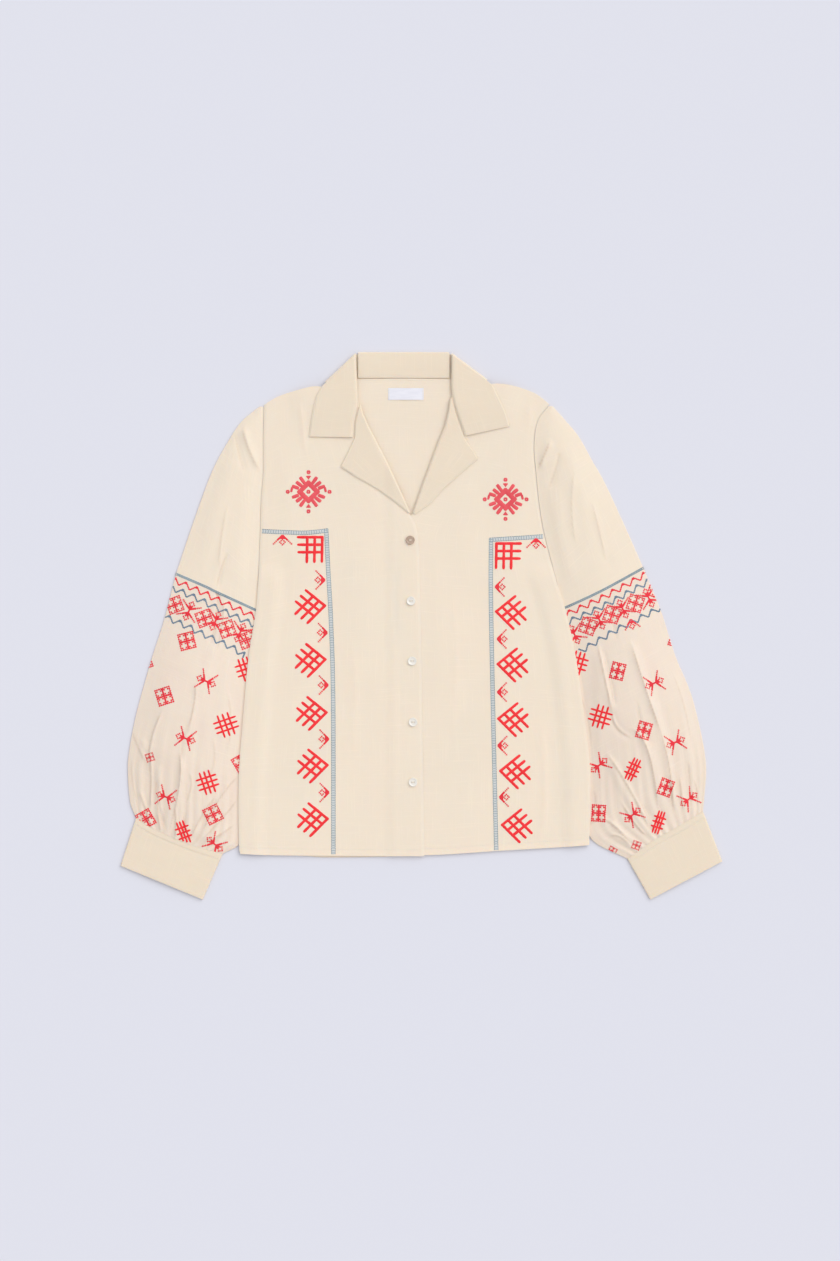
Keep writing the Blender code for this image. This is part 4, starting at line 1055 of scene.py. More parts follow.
for side in SIDES:
    outward = np.array([OUT[side], 1.0])
    armhole_line = curve(ARMHOLE[side], ARMHOLE_ROWS) + np.array([ARMHOLE_GAP, 0.0]) * outward
    armhole_line[0] += CAP_STEP * outward
    upper_end = moved(BAND_SEAM[side], SEAM_SHUT)
    tucked = curve([tuple(armhole_line[-1]), upper_end[-1]], UPPER_ROWS - ARMHOLE_ROWS + 1)[1:]
    inner_line = np.vstack([armhole_line, tucked])
    outer_line = curve(UPPER_OUTER[side][:-1] + [upper_end[0]], len(inner_line))
    top_line = spaced(np.array([UPPER_OUTER[side][0], armhole_line[0]], float), UPPER_COLUMNS)
    sleeve_uppers[side] = sleeve_piece(
        "sleeve_upper_", side, outer_line, inner_line, top_line, curve(upper_end, UPPER_COLUMNS),
        UPPER_ARCHES, CAP_CREASES[side], NO_GATHERS, False, cream_cloth, "cloth")
    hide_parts("sleeve_upper_" + side)
    lower_top = moved(BAND_SEAM[side], -SEAM_SHUT)
    lower_end = moved(CUFF_SEAM[side], SEAM_SHUT)
    outer_line = curve([lower_top[0]] + LOWER_OUTER[side][1:-1] + [lower_end[0]], LOWER_ROWS)
    inner_line = curve([lower_top[-1]] + LOWER_INNER[side][1:-1] + [lower_end[-1]], LOWER_ROWS)
    sleeve_lowers[side] = sleeve_piece(
        "sleeve_lower_", side, outer_line, inner_line, curve(lower_top, LOWER_COLUMNS),
        curve(lower_end, LOWER_COLUMNS), LOWER_ARCHES, CREASES[side], 1.0 - GATHER_REACH, True, sleeve_cloth,
        "sleeve_cloth")
    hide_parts("sleeve_lower_" + side)

# %% [markdown]
# ## Cuffs
# The cuffs are two layers of cloth, pressed flat, with a sharp fold at the end and on both sides.

# %% Cuffs
CUFF_COLUMNS = 70
CUFF_ROWS = 62
CUFF_BOTTOMS = 9
CUFF_TURNING = 8.0
CUFF_LONG = 66.0
CUFF_FALL = {"right": (-0.35, -0.94), "left": (0.45, -0.89)}


def cuff_relief(down, across):
    """The seam's turning shows as a low ridge, then the cuff is plain with a slight unevenness."""
    ridge = 0.45 * smoothstep((CUFF_TURNING - down) / 1.6)
    groove = 0.35 * np.exp(-((down - CUFF_TURNING) / 1.3) ** 2)
    uneven = 0.14 * np.sin(across * 7.0 + down / 9.0) * np.sin(down / 11.0 + 0.7)
    edge = 0.5 * smoothstep((down - CUFF_LONG + 2.2) / 2.2)
    return ridge - groove + uneven - edge


cuff_pieces = {}
for side in SIDES:
    top = curve(CUFF_SEAM[side], CUFF_COLUMNS) + np.array(CUFF_FALL[side]) * (SEAM_SHUT * 2)
    bottom = spaced(np.array(CUFF_END[side], float), CUFF_COLUMNS)
    spots = np.linspace(0.0, 1.0, CUFF_COLUMNS)
    plan = coons(top, bottom, spaced(np.array([top[0], bottom[0]]), CUFF_ROWS),
                 spaced(np.array([top[-1], bottom[-1]]), CUFF_ROWS), spots)
    sections = []
    for row, line in enumerate(plan):
        relief = cuff_relief(CUFF_LONG * row / (CUFF_ROWS - 1), spots) * np.sin(np.pi * spots) ** 0.3
        heights = CUFF_ARCH * np.sin(np.pi * spots) ** 0.8 + relief
        sections.append(bent_section(line, heights, spots, CUFF_WALL, CUFF_SLIT, CUFF_BOTTOMS, True))
    layers = [np.array(layer) for layer in zip(*sections)]
    cuff_pieces[side] = cloth_piece("cuff_" + side + "_cloth", *layers, shaded_flap_cloth, "cloth", True)
    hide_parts("cuff_" + side)

# %% [markdown]
# ## Embroidery threads
# All the ornament is sewn thread, standing a few tenths of a millimetre proud of the cloth. Two
# forms are enough: a short stitch, and a satin bar, which is a close row of threads laid side by
# side. A stitch is modelled once as a small rounded lozenge and copied along every line. Each copy
# is set on the cloth by a ray from above, so it follows the folds. The faces of the model are sorted,
# because their order could change from one run to the next.

# %% One stitch, modelled once
STITCH_SIDES = 6
STITCH_RINGS = 4

select_nothing()
bpy.ops.mesh.primitive_uv_sphere_add(segments=STITCH_SIDES, ring_count=STITCH_RINGS, radius=0.5,
                                     location=(0.0, 0.0, 0.0))
stitch_model = bpy.context.active_object
bpy.ops.object.mode_set(mode="EDIT")
bpy.ops.mesh.select_all(action="SELECT")
bpy.ops.transform.rotate(value=math.pi / 2, orient_axis="Y", center_override=(0.0, 0.0, 0.0))
bpy.ops.object.mode_set(mode="OBJECT")
STITCH_POINTS = np.array([vertex.co[:] for vertex in stitch_model.data.vertices])
STITCH_FACES = sorted(tuple(face.vertices) for face in stitch_model.data.polygons)
bpy.data.objects.remove(stitch_model, do_unlink=True)
print("a stitch has", len(STITCH_FACES), "faces")


# %% Setting thread on cloth
RAY_START = 0.2
STEEPEST = 0.05
THREAD_SHARP = math.radians(70.0)
CROSS_LONG = 1.3
STATION_PITCH = 1.6
ROUND_END = 2.0
BAR_UNEVEN = 0.06
LOOK_AHEAD = 0.002
BAR_X = np.array([-0.5, -0.3, 0.0, 0.3, 0.5, 0.3, -0.3])
BAR_Z = np.array([0.05, 0.75, 1.0, 0.75, 0.05, -0.3, -0.3])


def surface_of(*pieces):
    """What threads are set on: all faces of these pieces."""
    points, faces = [], []
    for piece in pieces:
        first = len(points)
        points += [vertex.co.copy() for vertex in piece.data.vertices]
        faces += [[v + first for v in face.vertices] for face in piece.data.polygons]
    return BVHTree.FromPolygons(points, faces)


def on_cloth(surface, x, y):
    """The place and the normal of the cloth under a plan point in millimetres, or None beside it."""
    spot, normal = surface.ray_cast(Vector((x * MM, y * MM, RAY_START)), Vector((0.0, 0.0, -1.0)))[:2]
    if spot is None or normal.z < STEEPEST:
        return None
    return np.array(spot) / MM, np.array(normal)


class Threads:
    """Stitches and satin bars for one piece of embroidery, collected and joined at the end."""

    def __init__(self, surface):
        self.surface = surface
        self.points = []
        self.faces = []
        self.maps = []
        self.used = 0

    def add(self, points, faces, maps):
        self.points.append(points)
        self.maps.append(maps)
        self.faces += [tuple(v + self.used for v in face) for face in faces]
        self.used += len(points)

    def stitch(self, x, y, angle, length, width, height=0.5, lift=0.1):
        """One stitch at a plan point, turned by an angle in degrees."""
        place = on_cloth(self.surface, x, y)
        if place is None:
            return
        spot, normal = place
        along = np.append(aim(angle), 0.0)
        along -= normal * along.dot(normal)
        along /= max(np.linalg.norm(along), 1e-6)
        side = np.cross(normal, along)
        local = STITCH_POINTS * (length, width, height)
        points = spot + local[:, :1] * along + local[:, 1:2] * side + (local[:, 2:] + lift) * normal
        self.add(points, STITCH_FACES, local[:, :2])

    def cross(self, x, y, size, angle=0.0, fat=0.42):
        """A cross stitch: two short stitches over one another."""
        for turn, lift in ((45.0, 0.08), (-45.0, 0.22)):
            self.stitch(x, y, angle + turn, size * CROSS_LONG, size * fat, 0.45, lift)

    def bar(self, start, end, width, height=0.55, ends=0.55):
        """A satin bar between two plan points: threads laid across it, a little uneven at its edges."""
        start, end = np.array(start, float), np.array(end, float)
        length = np.hypot(*(end - start))
        along = (end - start) / length
        side = np.array([-along[1], along[0]])
        stations = max(3, int(length / STATION_PITCH) + 1)
        rings, maps = [], []
        for k in range(stations):
            share = k / (stations - 1)
            middle = start + along * length * share
            from_end = min(share, 1.0 - share) * length
            round_end = ends + (1.0 - ends) * min(1.0, from_end / ROUND_END)
            uneven = 1.0 + BAR_UNEVEN * math.sin(7.1 * middle[0] + 3.3 * middle[1])
            ring = []
            for offset, rise in zip(BAR_X, BAR_Z):
                plan = middle + side * offset * width * round_end * uneven
                place = on_cloth(self.surface, *plan)
                if place is None:
                    break
                spot, normal = place
                ring.append(spot + normal * rise * height * round_end)
                maps.append((offset * width, length * share))
            if len(ring) < len(BAR_X):
                del maps[len(maps) - len(ring):]
                if rings:
                    break
                continue
            rings.append(ring)
        if len(rings) < 2:
            return
        count = len(BAR_X)
        faces = []
        for i in range(len(rings) - 1):
            for j in range(count):
                a = i * count + j
                b = i * count + (j + 1) % count
                faces.append((a, b, b + count, a + count))
        last = (len(rings) - 1) * count
        faces.append(tuple(range(count - 1, -1, -1)))
        faces.append(tuple(range(last, last + count)))
        self.add(np.array(rings).reshape(-1, 3), faces, np.array(maps[:len(rings) * count]))

    def line(self, points, pitch, length, width, height=0.45, lift=0.1):
        """Running stitches along a polyline."""
        points = np.array(points, float)
        count = max(1, int(round(length_of(points) / pitch)))
        for share in (np.arange(count) + 0.5) / count:
            before, after = at_shares(points, np.clip([share - LOOK_AHEAD, share + LOOK_AHEAD], 0.0, 1.0))
            turn = math.degrees(math.atan2(*(after - before)[::-1]))
            self.stitch(*(before + after) / 2, turn, length, width, height, lift)

    def crosses(self, points, pitch, size, angle=0.0, fat=0.42):
        """Cross stitches along a polyline, one on each end and evenly between."""
        points = np.array(points, float)
        count = max(2, int(round(length_of(points) / pitch)) + 1)
        for x, y in spaced(points, count):
            self.cross(x, y, size, angle, fat)

    def sewn(self, name, material, slot="cloth"):
        """Join everything collected so far into one piece."""
        mesh = new_mesh(name, np.vstack(self.points) * MM, self.faces, "thread", np.vstack(self.maps) * MM,
                        material, THREAD_SHARP)
        made = new_piece(name, mesh)
        bpy.context.view_layer.objects.active = made
        made.select_set(True)
        bpy.ops.object.mode_set(mode="EDIT")
        bpy.ops.mesh.select_all(action="SELECT")
        bpy.ops.mesh.normals_make_consistent(inside=False)
        bpy.ops.object.mode_set(mode="OBJECT")
        made.select_set(False)


# %% [markdown]
# ## Thread colours
# Embroidery floss is glossy: its fibres run one way and catch the light in fine lines. The finish is
# a band of waves across the thread direction, read from each thread's own map, under a soft shine.

# %% Floss
FLOSS_LINES_PER_METRE = 2600.0
FLOSS_CLOUDS = (55.0, 55.0, 55.0)


def object_places(tree):
    return tree.nodes.new("ShaderNodeTexCoord").outputs["Object"]


def floss(name, colour, dark, roughness=0.45):
    material, tree, shader = new_material(name, Sheen_Weight=0.15, Specular_IOR_Level=0.35)
    lines = thread_wave(tree, flat_places(tree, "thread"), "Y", FLOSS_LINES_PER_METRE)
    tone = stretched_noise(tree, object_places(tree), FLOSS_CLOUDS, 2.0)
    ground = mixed(tree, ranged(tree, tone, 0.35, 0.7, 0.0, 1.0), (*colour, 1.0), (*dark, 1.0))
    # Painted shade: the colour darkens a little towards a much darker tone in the troughs between the floss's
    # fibre lines.
    deep = (*(c * 0.55 for c in dark), 1.0)
    shadowed = mixed(tree, ranged(tree, lines, 0.0, 0.5, 0.18, 0.0), ground, deep)
    link(tree, shadowed, shader.inputs["Base Color"])
    bumped(tree, shader, lines, 0.4, 0.0002)
    link(tree, ranged(tree, tone, 0.3, 0.7, roughness - 0.06, roughness + 0.08), shader.inputs["Roughness"])
    return material


red_floss = floss("bright red floss", (1.0, 0.024, 0.030), (0.90, 0.014, 0.022))
deep_red_floss = floss("deep red floss", (0.94, 0.030, 0.048), (0.81, 0.019, 0.034))
coral_floss = floss("coral red floss", (0.90, 0.100, 0.118), (0.78, 0.070, 0.088))
pale_blue_floss = floss("pale blue floss", (0.69, 0.70, 0.675), (0.62, 0.645, 0.63))
blue_grey_floss = floss("blue grey floss", (0.30, 0.385, 0.425), (0.23, 0.30, 0.34))
slate_floss = floss("slate blue floss", (0.185, 0.265, 0.345), (0.135, 0.205, 0.280))
cream_thread = floss("cream sewing thread", (0.93, 0.84, 0.70), (0.86, 0.76, 0.61), 0.55)

# %% [markdown]
# ## The ladder borders
# A narrow ladder runs in from each armhole and turns down to the hem. It is a pale strip with two
# darker rails and close rungs. Its line is a smooth curve with one sharp corner.

# %% Ladder borders on the fronts
LADDER_WIDTH = 4.9
RUNG_PITCH = 3.4
RAIL_STITCH = 3.0
LADDER_POINTS = 200
STRIP_LONG = 30.0
LADDER = {
    "right": (
        [(262, 531.2), (285, 532.3), (303, 532.9), (316, 532), (328.2, 530.4)],
        [(326.3, 529), (328.4, 572), (331, 620), (333.2, 697), (333.5, 854)]),
    "left": (
        [(543, 536.5), (516, 538.3), (489.2, 540)],
        [(491, 538.4), (490.8, 595), (492.7, 697), (496.2, 850)])}

front_surfaces = {side: surface_of(fronts[side]) for side in SIDES}


def beside(line, offset):
    """A line moved sideways by an offset in millimetres."""
    ahead = np.gradient(line, axis=0)
    ahead /= np.hypot(*ahead.T)[:, None]
    return line + np.column_stack([-ahead[:, 1], ahead[:, 0]]) * offset


for side in SIDES:
    strip = Threads(front_surfaces[side])
    rails = Threads(front_surfaces[side])
    for stretch in LADDER[side]:
        line = curve(from_picture(stretch), LADDER_POINTS)
        length = length_of(line)
        rungs = int(length / RUNG_PITCH)
        pieces = spaced(line, max(2, int(length / STRIP_LONG)) + 1)
        for a, b in zip(pieces[:-1], pieces[1:]):
            strip.bar(a, b, LADDER_WIDTH, 0.16, 1.0)
        for offset in (-LADDER_WIDTH / 2, LADDER_WIDTH / 2):
            rails.line(beside(line, offset), RAIL_STITCH, RAIL_STITCH * 1.05, 1.05, 0.4, 0.12)
        for spot, near in zip(at_shares(line, (np.arange(rungs) + 0.5) / rungs),
                              at_shares(line, (np.arange(rungs) + 0.6) / rungs)):
            turn = math.degrees(math.atan2(*(near - spot)[::-1])) + 90.0
            rails.stitch(spot[0], spot[1], turn, LADDER_WIDTH * 0.9, 0.8, 0.35, 0.2)
    strip.sewn("ladder_strip_" + side, pale_blue_floss)
    rails.sewn("ladder_rails_" + side, blue_grey_floss)

# %% [markdown]
# ## Combs along the borders
# Beside each ladder stand combs of three bars crossed by three, with their corner to the ladder and
# their teeth outwards. The first one is set square in the ladder's corner, the others on their
# points. Each bar is a satin bar.

# %% Combs
COMB_BAR = 3.8
COMB_SPACING = 10.2
COMB_LONG = 36.5
COMBS = {
    "right": [(324.9, 605.7), (325.3, 659.4), (326.4, 712.4), (327.4, 765), (327.6, 818.6)],
    "left": [(496.2, 611.6), (497.8, 664), (498.4, 718.6), (500.4, 770.8), (502.2, 824.7)]}
COMB_OPENING = (39.0, 45.0)
COMB_TOWARD = {"right": 180.0, "left": 0.0}
CORNER_COMB = {"right": (322.4, 537.3), "left": (496.4, 543.6)}


def comb(threads, corner, first_angle, second_angle):
    """Three bars along each of two directions from a corner, crossing near it."""
    corner = np.array(corner, float)
    first, second = aim(first_angle), aim(second_angle)
    for k in range(3):
        begin = corner + second * COMB_SPACING * k - first * COMB_BAR * 0.5
        threads.bar(begin, begin + first * (COMB_LONG - 0.6 * k), COMB_BAR, 0.55)
        begin = corner + first * COMB_SPACING * k - second * COMB_BAR * 0.5
        threads.bar(begin, begin + second * (COMB_LONG + 0.4 * k), COMB_BAR, 0.75)


for side in SIDES:
    combs = Threads(front_surfaces[side])
    toward = COMB_TOWARD[side]
    comb(combs, from_picture(CORNER_COMB[side]), toward, -91.0)
    for corner in COMBS[side]:
        comb(combs, from_picture(corner), toward + OUT[side] * COMB_OPENING[0],
             toward - OUT[side] * COMB_OPENING[1])
    combs.sewn("combs_" + side, red_floss)

# %% [markdown]
# ## Arrowheads and antennas
# Between the combs sit small arrowheads of dotted cross stitch: a filled point, two antennas and a
# small open square between them. On the sleeves two of them meet point to point.

# %% Arrowheads
DOT_PITCH = 2.7
DOT = 2.5
ARM_BAR = 2.6
ARM_SOLID = 0.55
ARROW_ROWS = (1.0, 2.6, 4.2)
ROW_BAR = 2.1
FRAME_PITCH = 2.4
FRAME_DOT = 2.2
FRAME_SHARE = 0.55


def turned(points, angle, centre):
    """Points turned by an angle in degrees and moved to a centre."""
    c, s = aim(angle)
    x, y = np.array(points, float).T
    return np.column_stack([x * c - y * s, x * s + y * c]) + centre


def arrowhead(threads, tip, angle, reach, opening=46.0, frame_at=9.4, frame_half=3.6, widest=5.0):
    """Its tip points along the angle; two arms run back from it, with an open frame between."""
    tip = np.array(tip, float)
    rise = math.tan(math.radians(opening))
    back = reach * math.cos(math.radians(opening))
    for sign in (-1.0, 1.0):
        arm = turned([(0.0, 0.0), (-back, sign * back * rise)], angle, tip)
        near = arm[0] + (arm[1] - arm[0]) * ARM_SOLID
        threads.bar(arm[0], near, ARM_BAR, 0.45, 0.95)
        threads.crosses([near, arm[1]], DOT_PITCH, DOT, angle)
    for row in ARROW_ROWS:
        half = min(row * rise, widest)
        threads.bar(*turned([(-row, -half), (-row, half)], angle, tip), ROW_BAR, 0.5, 0.8)
    around = [(0.0, 1.0), (1.0, 0.0), (0.0, -1.0), (-1.0, 0.0), (0.0, 1.0)]
    frame_line = turned([(x * frame_half - frame_at, y * frame_half) for x, y in around], angle, tip)
    for a, b in zip(frame_line[:-1], frame_line[1:]):
        threads.crosses([a, a + (b - a) * FRAME_SHARE], FRAME_PITCH, FRAME_DOT, angle, 0.6)


ARROWS = {
    "right": [
        (282.6, 535.3, 90), (324.9, 580, 0), (327.3, 632.6, 0), (328.2, 685, 0), (328.8, 739, 0),
        (329, 792.4, 0)],
    "left": [
        (536, 538.6, 90), (495.2, 587, 180), (497.2, 639, 180), (497.4, 692, 180), (497.8, 745.5, 180),
        (499.4, 797, 180)]}
ARROW_REACH = 17.0

for side in SIDES:
    arrow_threads = Threads(front_surfaces[side])
    for tip_x, tip_y, angle in ARROWS[side]:
        arrowhead(arrow_threads, from_picture((tip_x, tip_y)), angle, ARROW_REACH)
    arrow_threads.sewn("arrowheads_" + side, deep_red_floss)

# %% [markdown]
# ## Chest rosettes
# High on each front is a rosette: a thick diamond with a small diamond in its open middle, short
# prongs standing out of its four sides, and a small square at each tip. It is built from one quarter
# side, repeated four times, in satin bars.

# %% Rosettes
ROSETTE = {"right": (308.6, 491.9), "left": (505.4, 499.4)}
RING_CORNER = 12.0
RING_WIDTH = 6.6
PRONGS = ((4.6, 10.6, 11.6, 20.0), (8.8, 7.4, 16.8, 13.6), (13.0, 4.4, 22.4, 7.9))
PRONG_WIDTH = 4.8
HOOK = ((22.0, 6.4), (23.6, -0.4))
HOOK_WIDTH = PRONG_WIDTH * 0.7
RING_OVER = 2.4
TIPS = ((28.6, 0.0), (26.6, 90.0), (28.2, 180.0), (26.6, 270.0))
TIP_HALF = 2.2
TIP_BAR = 2.5
WEDGE_ROWS = ((17.6, 0.8), (19.2, 2.0), (20.8, 3.2))
HEART_HALF = 2.3


def diamond(threads, centre, half, bar):
    """Four satin bars round a small open diamond."""
    corners = turned([(half, 0.0), (0.0, half), (-half, 0.0), (0.0, -half), (half, 0.0)], 0.0, centre)
    for a, b in zip(corners[:-1], corners[1:]):
        threads.bar(a, b, bar, 0.5, 0.9)


def rosette(threads, centre):
    """One quarter's prongs are mirrored into all four quarters round a thick diamond."""
    centre = np.array(centre, float)
    ring = np.array([(1.0, 0.0), (0.0, 1.0), (-1.0, 0.0), (0.0, -1.0)]) * RING_CORNER + centre
    for k in range(4):
        over = (ring[k] - ring[k - 1]) / np.hypot(*(ring[k] - ring[k - 1])) * RING_OVER
        threads.bar(ring[k - 1] - over, ring[k] + over, RING_WIDTH, 0.6, 0.95)
    for mirror in itertools.product((-1.0, 1.0), repeat=2):
        for prong in PRONGS:
            threads.bar(*(np.array(prong).reshape(2, 2) * mirror + centre), PRONG_WIDTH, 0.62, 0.75)
        if mirror[1] > 0.0:
            threads.bar(*(np.array(HOOK) * mirror + centre), HOOK_WIDTH, 0.55, 0.75)
    for reach, angle in TIPS:
        diamond(threads, turned([(reach, 0.0)], angle, centre)[0], TIP_HALF, TIP_BAR)
    for angle in (90.0, 270.0):
        for reach, half in WEDGE_ROWS:
            wedge = turned([(reach, -half), (reach, half)], angle, centre)
            threads.bar(*wedge, ROW_BAR, 0.5, 0.85)
    diamond(threads, centre, HEART_HALF, TIP_BAR)


for side in SIDES:
    rosette_threads = Threads(front_surfaces[side])
    rosette(rosette_threads, from_picture(ROSETTE[side]))
    rosette_threads.sewn("rosette_" + side, coral_floss)

# %% [markdown]
# ## The sleeve bands
# Below the seam of each lower sleeve runs a band: a dotted blue line on the seam, a red and a blue
# zigzag, a row of squares on their points with crossed antennas between them, and a last blue zigzag.
# The seam line gives the band its frame: how far along the seam, and how far below it.

# %% The band's frame
BAND_POINTS = 240
SEAM_INSET = -0.6
SEAM_PITCH = 2.7
SEAM_CROSS = 3.6
ZIGZAG_PERIOD = 16.2
ZIGZAG_RISE = 8.3
RED_ZIGZAG = ((0.0, 4.0), (1.0, 4.0))
BLUE_ZIGZAG = ((0.0, 14.6), (1.0, 14.6))
LAST_ZIGZAG = {"right": ((0.0, 54.6), (0.85, 54.6), (1.0, 57.5)),
               "left": ((0.0, 54.0), (0.55, 51.0), (1.0, 58.0))}
ZIGZAG_STITCH = 2.2
ZIGZAG_THICK = 2.45
PEAK_ROWS = ((0.6, 1.0), (2.1, 2.3))
PEAK_BAR = 1.9


class Band:
    """Places below a seam, by how far along it and how far below it, in millimetres."""

    def __init__(self, seam, down_angle):
        self.line = curve(seam, BAND_POINTS)
        self.length = length_of(self.line)
        self.down = aim(down_angle)

    def at(self, along, below):
        return at_shares(self.line, [np.clip(along / self.length, 0.0, 1.0)])[0] + self.down * below


BANDS = {"right": Band(BAND_SEAM["right"], -113.0), "left": Band(BAND_SEAM["left"], -63.0)}


def zigzag(threads, band, below, start):
    """Straight stitches up and down, with a small filled point at each peak; below holds rows of
    how far along the seam, as a share, and how far below it."""
    shares, depths = zip(*below)
    count = int(band.length / ZIGZAG_PERIOD) + 2
    for k in range(count):
        here, halfway, further = start + np.array([k, k + 0.5, k + 1.0]) * ZIGZAG_PERIOD
        if here > band.length:
            break
        depth, next_depth = np.interp(np.array([here, further]) / band.length, shares, depths)
        low = band.at(halfway, (depth + next_depth) / 2 + ZIGZAG_RISE)
        for stretch in ([band.at(here, depth), low], [low, band.at(further, next_depth)]):
            threads.line(stretch, ZIGZAG_STITCH, ZIGZAG_STITCH * 1.2, ZIGZAG_THICK, 0.5)
        for row, half in PEAK_ROWS:
            ends = (band.at(here - half, depth + row), band.at(here + half, depth + row))
            threads.bar(*ends, PEAK_BAR, 0.45, 0.9)


# %% [markdown]
# ## Motifs of the sleeves
# Three motifs are strewn over the lower sleeves. A square of four cells has a dotted outline, a thick
# cross and a small open star in each cell. An antenna is two arrowheads that meet at their points. A
# hash is three bars over three. Each is drawn once as a function and placed by its middle and turn.

# %% Square, antenna and hash
SQUARE_HALF = 11.4
SQUARE_PITCH = 3.1
SQUARE_DOT = 2.2
SQUARE_LINE = 1.3
CROSS_BAR = 2.5
CELL_MIDDLE = 5.5
CELL_CORNER = 2.75
CELL_DOT = 2.25
FILLED = 0.75
ANTENNA_REACH = 15.6
ANTENNA_OPENING = 58.0
TIP_APART = 2.3
LINK_REACH = TIP_APART + 1.0
LINK_BAR = 2.4
HASH_SPACING = 6.9
HASH_LONG = 32.0
HASH_BAR = 2.7


def square(threads, centre, angle, size=1.0, wide=1.0):
    """Four cells in a dotted frame; dots in each cell's corners leave a small open star."""
    half = (SQUARE_HALF - SQUARE_LINE / 2) * size

    def placed(points):
        return turned([(x * wide, y) for x, y in points], angle, centre)

    corners = placed([(half, half), (-half, half), (-half, -half), (half, -half), (half, half)])
    for a, b in zip(corners[:-1], corners[1:]):
        threads.bar(a, b, SQUARE_LINE * size, 0.42, 1.0)
        inside = a + (b - a) * (1.0 - SQUARE_PITCH / (2.0 * half))
        threads.crosses([a, inside], SQUARE_PITCH, SQUARE_DOT * size, angle + 45.0, FILLED)
    arms = placed([(-half, 0.0), (half, 0.0), (0.0, -half), (0.0, half)])
    for k in (0, 2):
        threads.bar(arms[k], arms[k + 1], CROSS_BAR * size, 0.5, 0.95)
    for across, up, right, high in itertools.product((-1.0, 1.0), repeat=4):
        dot = np.array([across * CELL_MIDDLE + right * CELL_CORNER, up * CELL_MIDDLE + high * CELL_CORNER])
        threads.cross(*placed([dot * size])[0], CELL_DOT * size, angle, FILLED)


def antenna(threads, centre, angle, reach=ANTENNA_REACH):
    """Two arrowheads point to point, joined by a short link."""
    for turn in (0.0, 180.0):
        tip = turned([(-TIP_APART, 0.0)], angle + turn, centre)[0]
        arrowhead(threads, tip, angle + turn, reach, ANTENNA_OPENING, 7.4, 3.6, 2.4)
    threads.bar(*turned([(-LINK_REACH, 0.0), (LINK_REACH, 0.0)], angle, centre), LINK_BAR, 0.5, 0.9)


def hash_bars(threads, centre, angle, wide=1.0):
    """Three bars over three; wide is less than 1 where a pleat takes part of it in."""
    reach = HASH_LONG / 2
    for shift in (-HASH_SPACING, 0.0, HASH_SPACING):
        lower = turned([(-reach * wide, shift), (reach * wide, shift)], angle, centre)
        upper = turned([(shift * wide, -reach), (shift * wide, reach)], angle, centre)
        threads.bar(*lower, HASH_BAR, 0.5)
        threads.bar(*upper, HASH_BAR, 0.7)


# %% Motifs in the bands
BAND_SQUARES = {
    "right": [(175, 605), (204.8, 618.4), (227.3, 629), (247, 640)],
    "left": [(587.7, 626.3), (611.6, 614.6), (635, 603.4), (656, 590)]}
BAND_ANTENNAS = {
    "right": [(189.4, 611), (215.9, 621), (240.4, 632.6)],
    "left": [(574.4, 634.5), (599, 620), (622.3, 609), (648.5, 598)]}
BAND_TURN = {"right": -24.8, "left": 26.0}
ZIGZAG_START = {"right": 1.5, "left": 3.0}

sleeve_surfaces = {side: surface_of(sleeve_lowers[side]) for side in SIDES}
band_reds = {}
for side in SIDES:
    band = BANDS[side]
    reds = Threads(sleeve_surfaces[side])
    blues = Threads(sleeve_surfaces[side])
    seam_line = band.line + band.down * SEAM_INSET
    seam_threads = Threads(surface_of(sleeve_uppers[side], sleeve_lowers[side]))
    seam_threads.crosses(seam_line, SEAM_PITCH, SEAM_CROSS, BAND_TURN[side])
    for edge in (-1.3, 1.3):
        seam_threads.line(seam_line + band.down * edge, SEAM_PITCH, SEAM_PITCH * 1.1, 1.0, 0.4)
    seam_threads.sewn("sleeve_band_seam_" + side, blue_grey_floss, "sleeve_cloth")
    zigzag(reds, band, RED_ZIGZAG, ZIGZAG_START[side])
    zigzag(blues, band, BLUE_ZIGZAG, ZIGZAG_START[side])
    zigzag(blues, band, LAST_ZIGZAG[side], ZIGZAG_START[side] - 3.0)
    for middle in BAND_SQUARES[side]:
        square(reds, from_picture(middle), BAND_TURN[side] + 45.0, 0.92)
    for middle in BAND_ANTENNAS[side]:
        antenna(reds, from_picture(middle), BAND_TURN[side] + 90.0)
    blues.sewn("sleeve_band_blue_" + side, slate_floss, "sleeve_cloth")
    band_reds[side] = reds

# %% Motifs strewn over the sleeves
STREWN_SQUARES = {
    "right": [
        (187.5, 641, 14), (143.5, 661, 20), (165, 696, 18), (242, 763, 30), (213.5, 814, 26),
        (146, 819, 30)],
    "left": [(676.5, 639, -20), (617, 671, -14), (643, 730, -16), (665, 787, -20), (598.4, 813, -3)]}
STREWN_ANTENNAS = {
    "right": [(207, 681, -25), (186.5, 738, -19), (166.5, 796.5, -20), (215, 844, -42)],
    "left": [(653.5, 683, 24.5), (674.7, 742, 24), (599, 765, 41), (632, 814.5, 42), (688.5, 799, 36)]}
STREWN_HASHES = {
    "right": [(246, 669, 18, 0.85), (226.5, 724.7, 19, 1), (208, 782, 18, 0.9), (184, 832, 20, 0.62)],
    "left": [(577.5, 663, -16, 0.85), (600, 716.5, -16, 0.95), (632, 769, -25, 0.6), (658, 822, -18, 0.55)]}
LONE_ARROWS = {"right": [], "left": [(630, 619.5, 104)]}
SQUARE_WIDE = {"right": 0.94, "left": 0.8}
STREWN_SMALL = {"right": [(150.6, 757, 18)], "left": [(636, 845, -20), (612, 851, -30)]}
SMALL_SIZE = 0.5

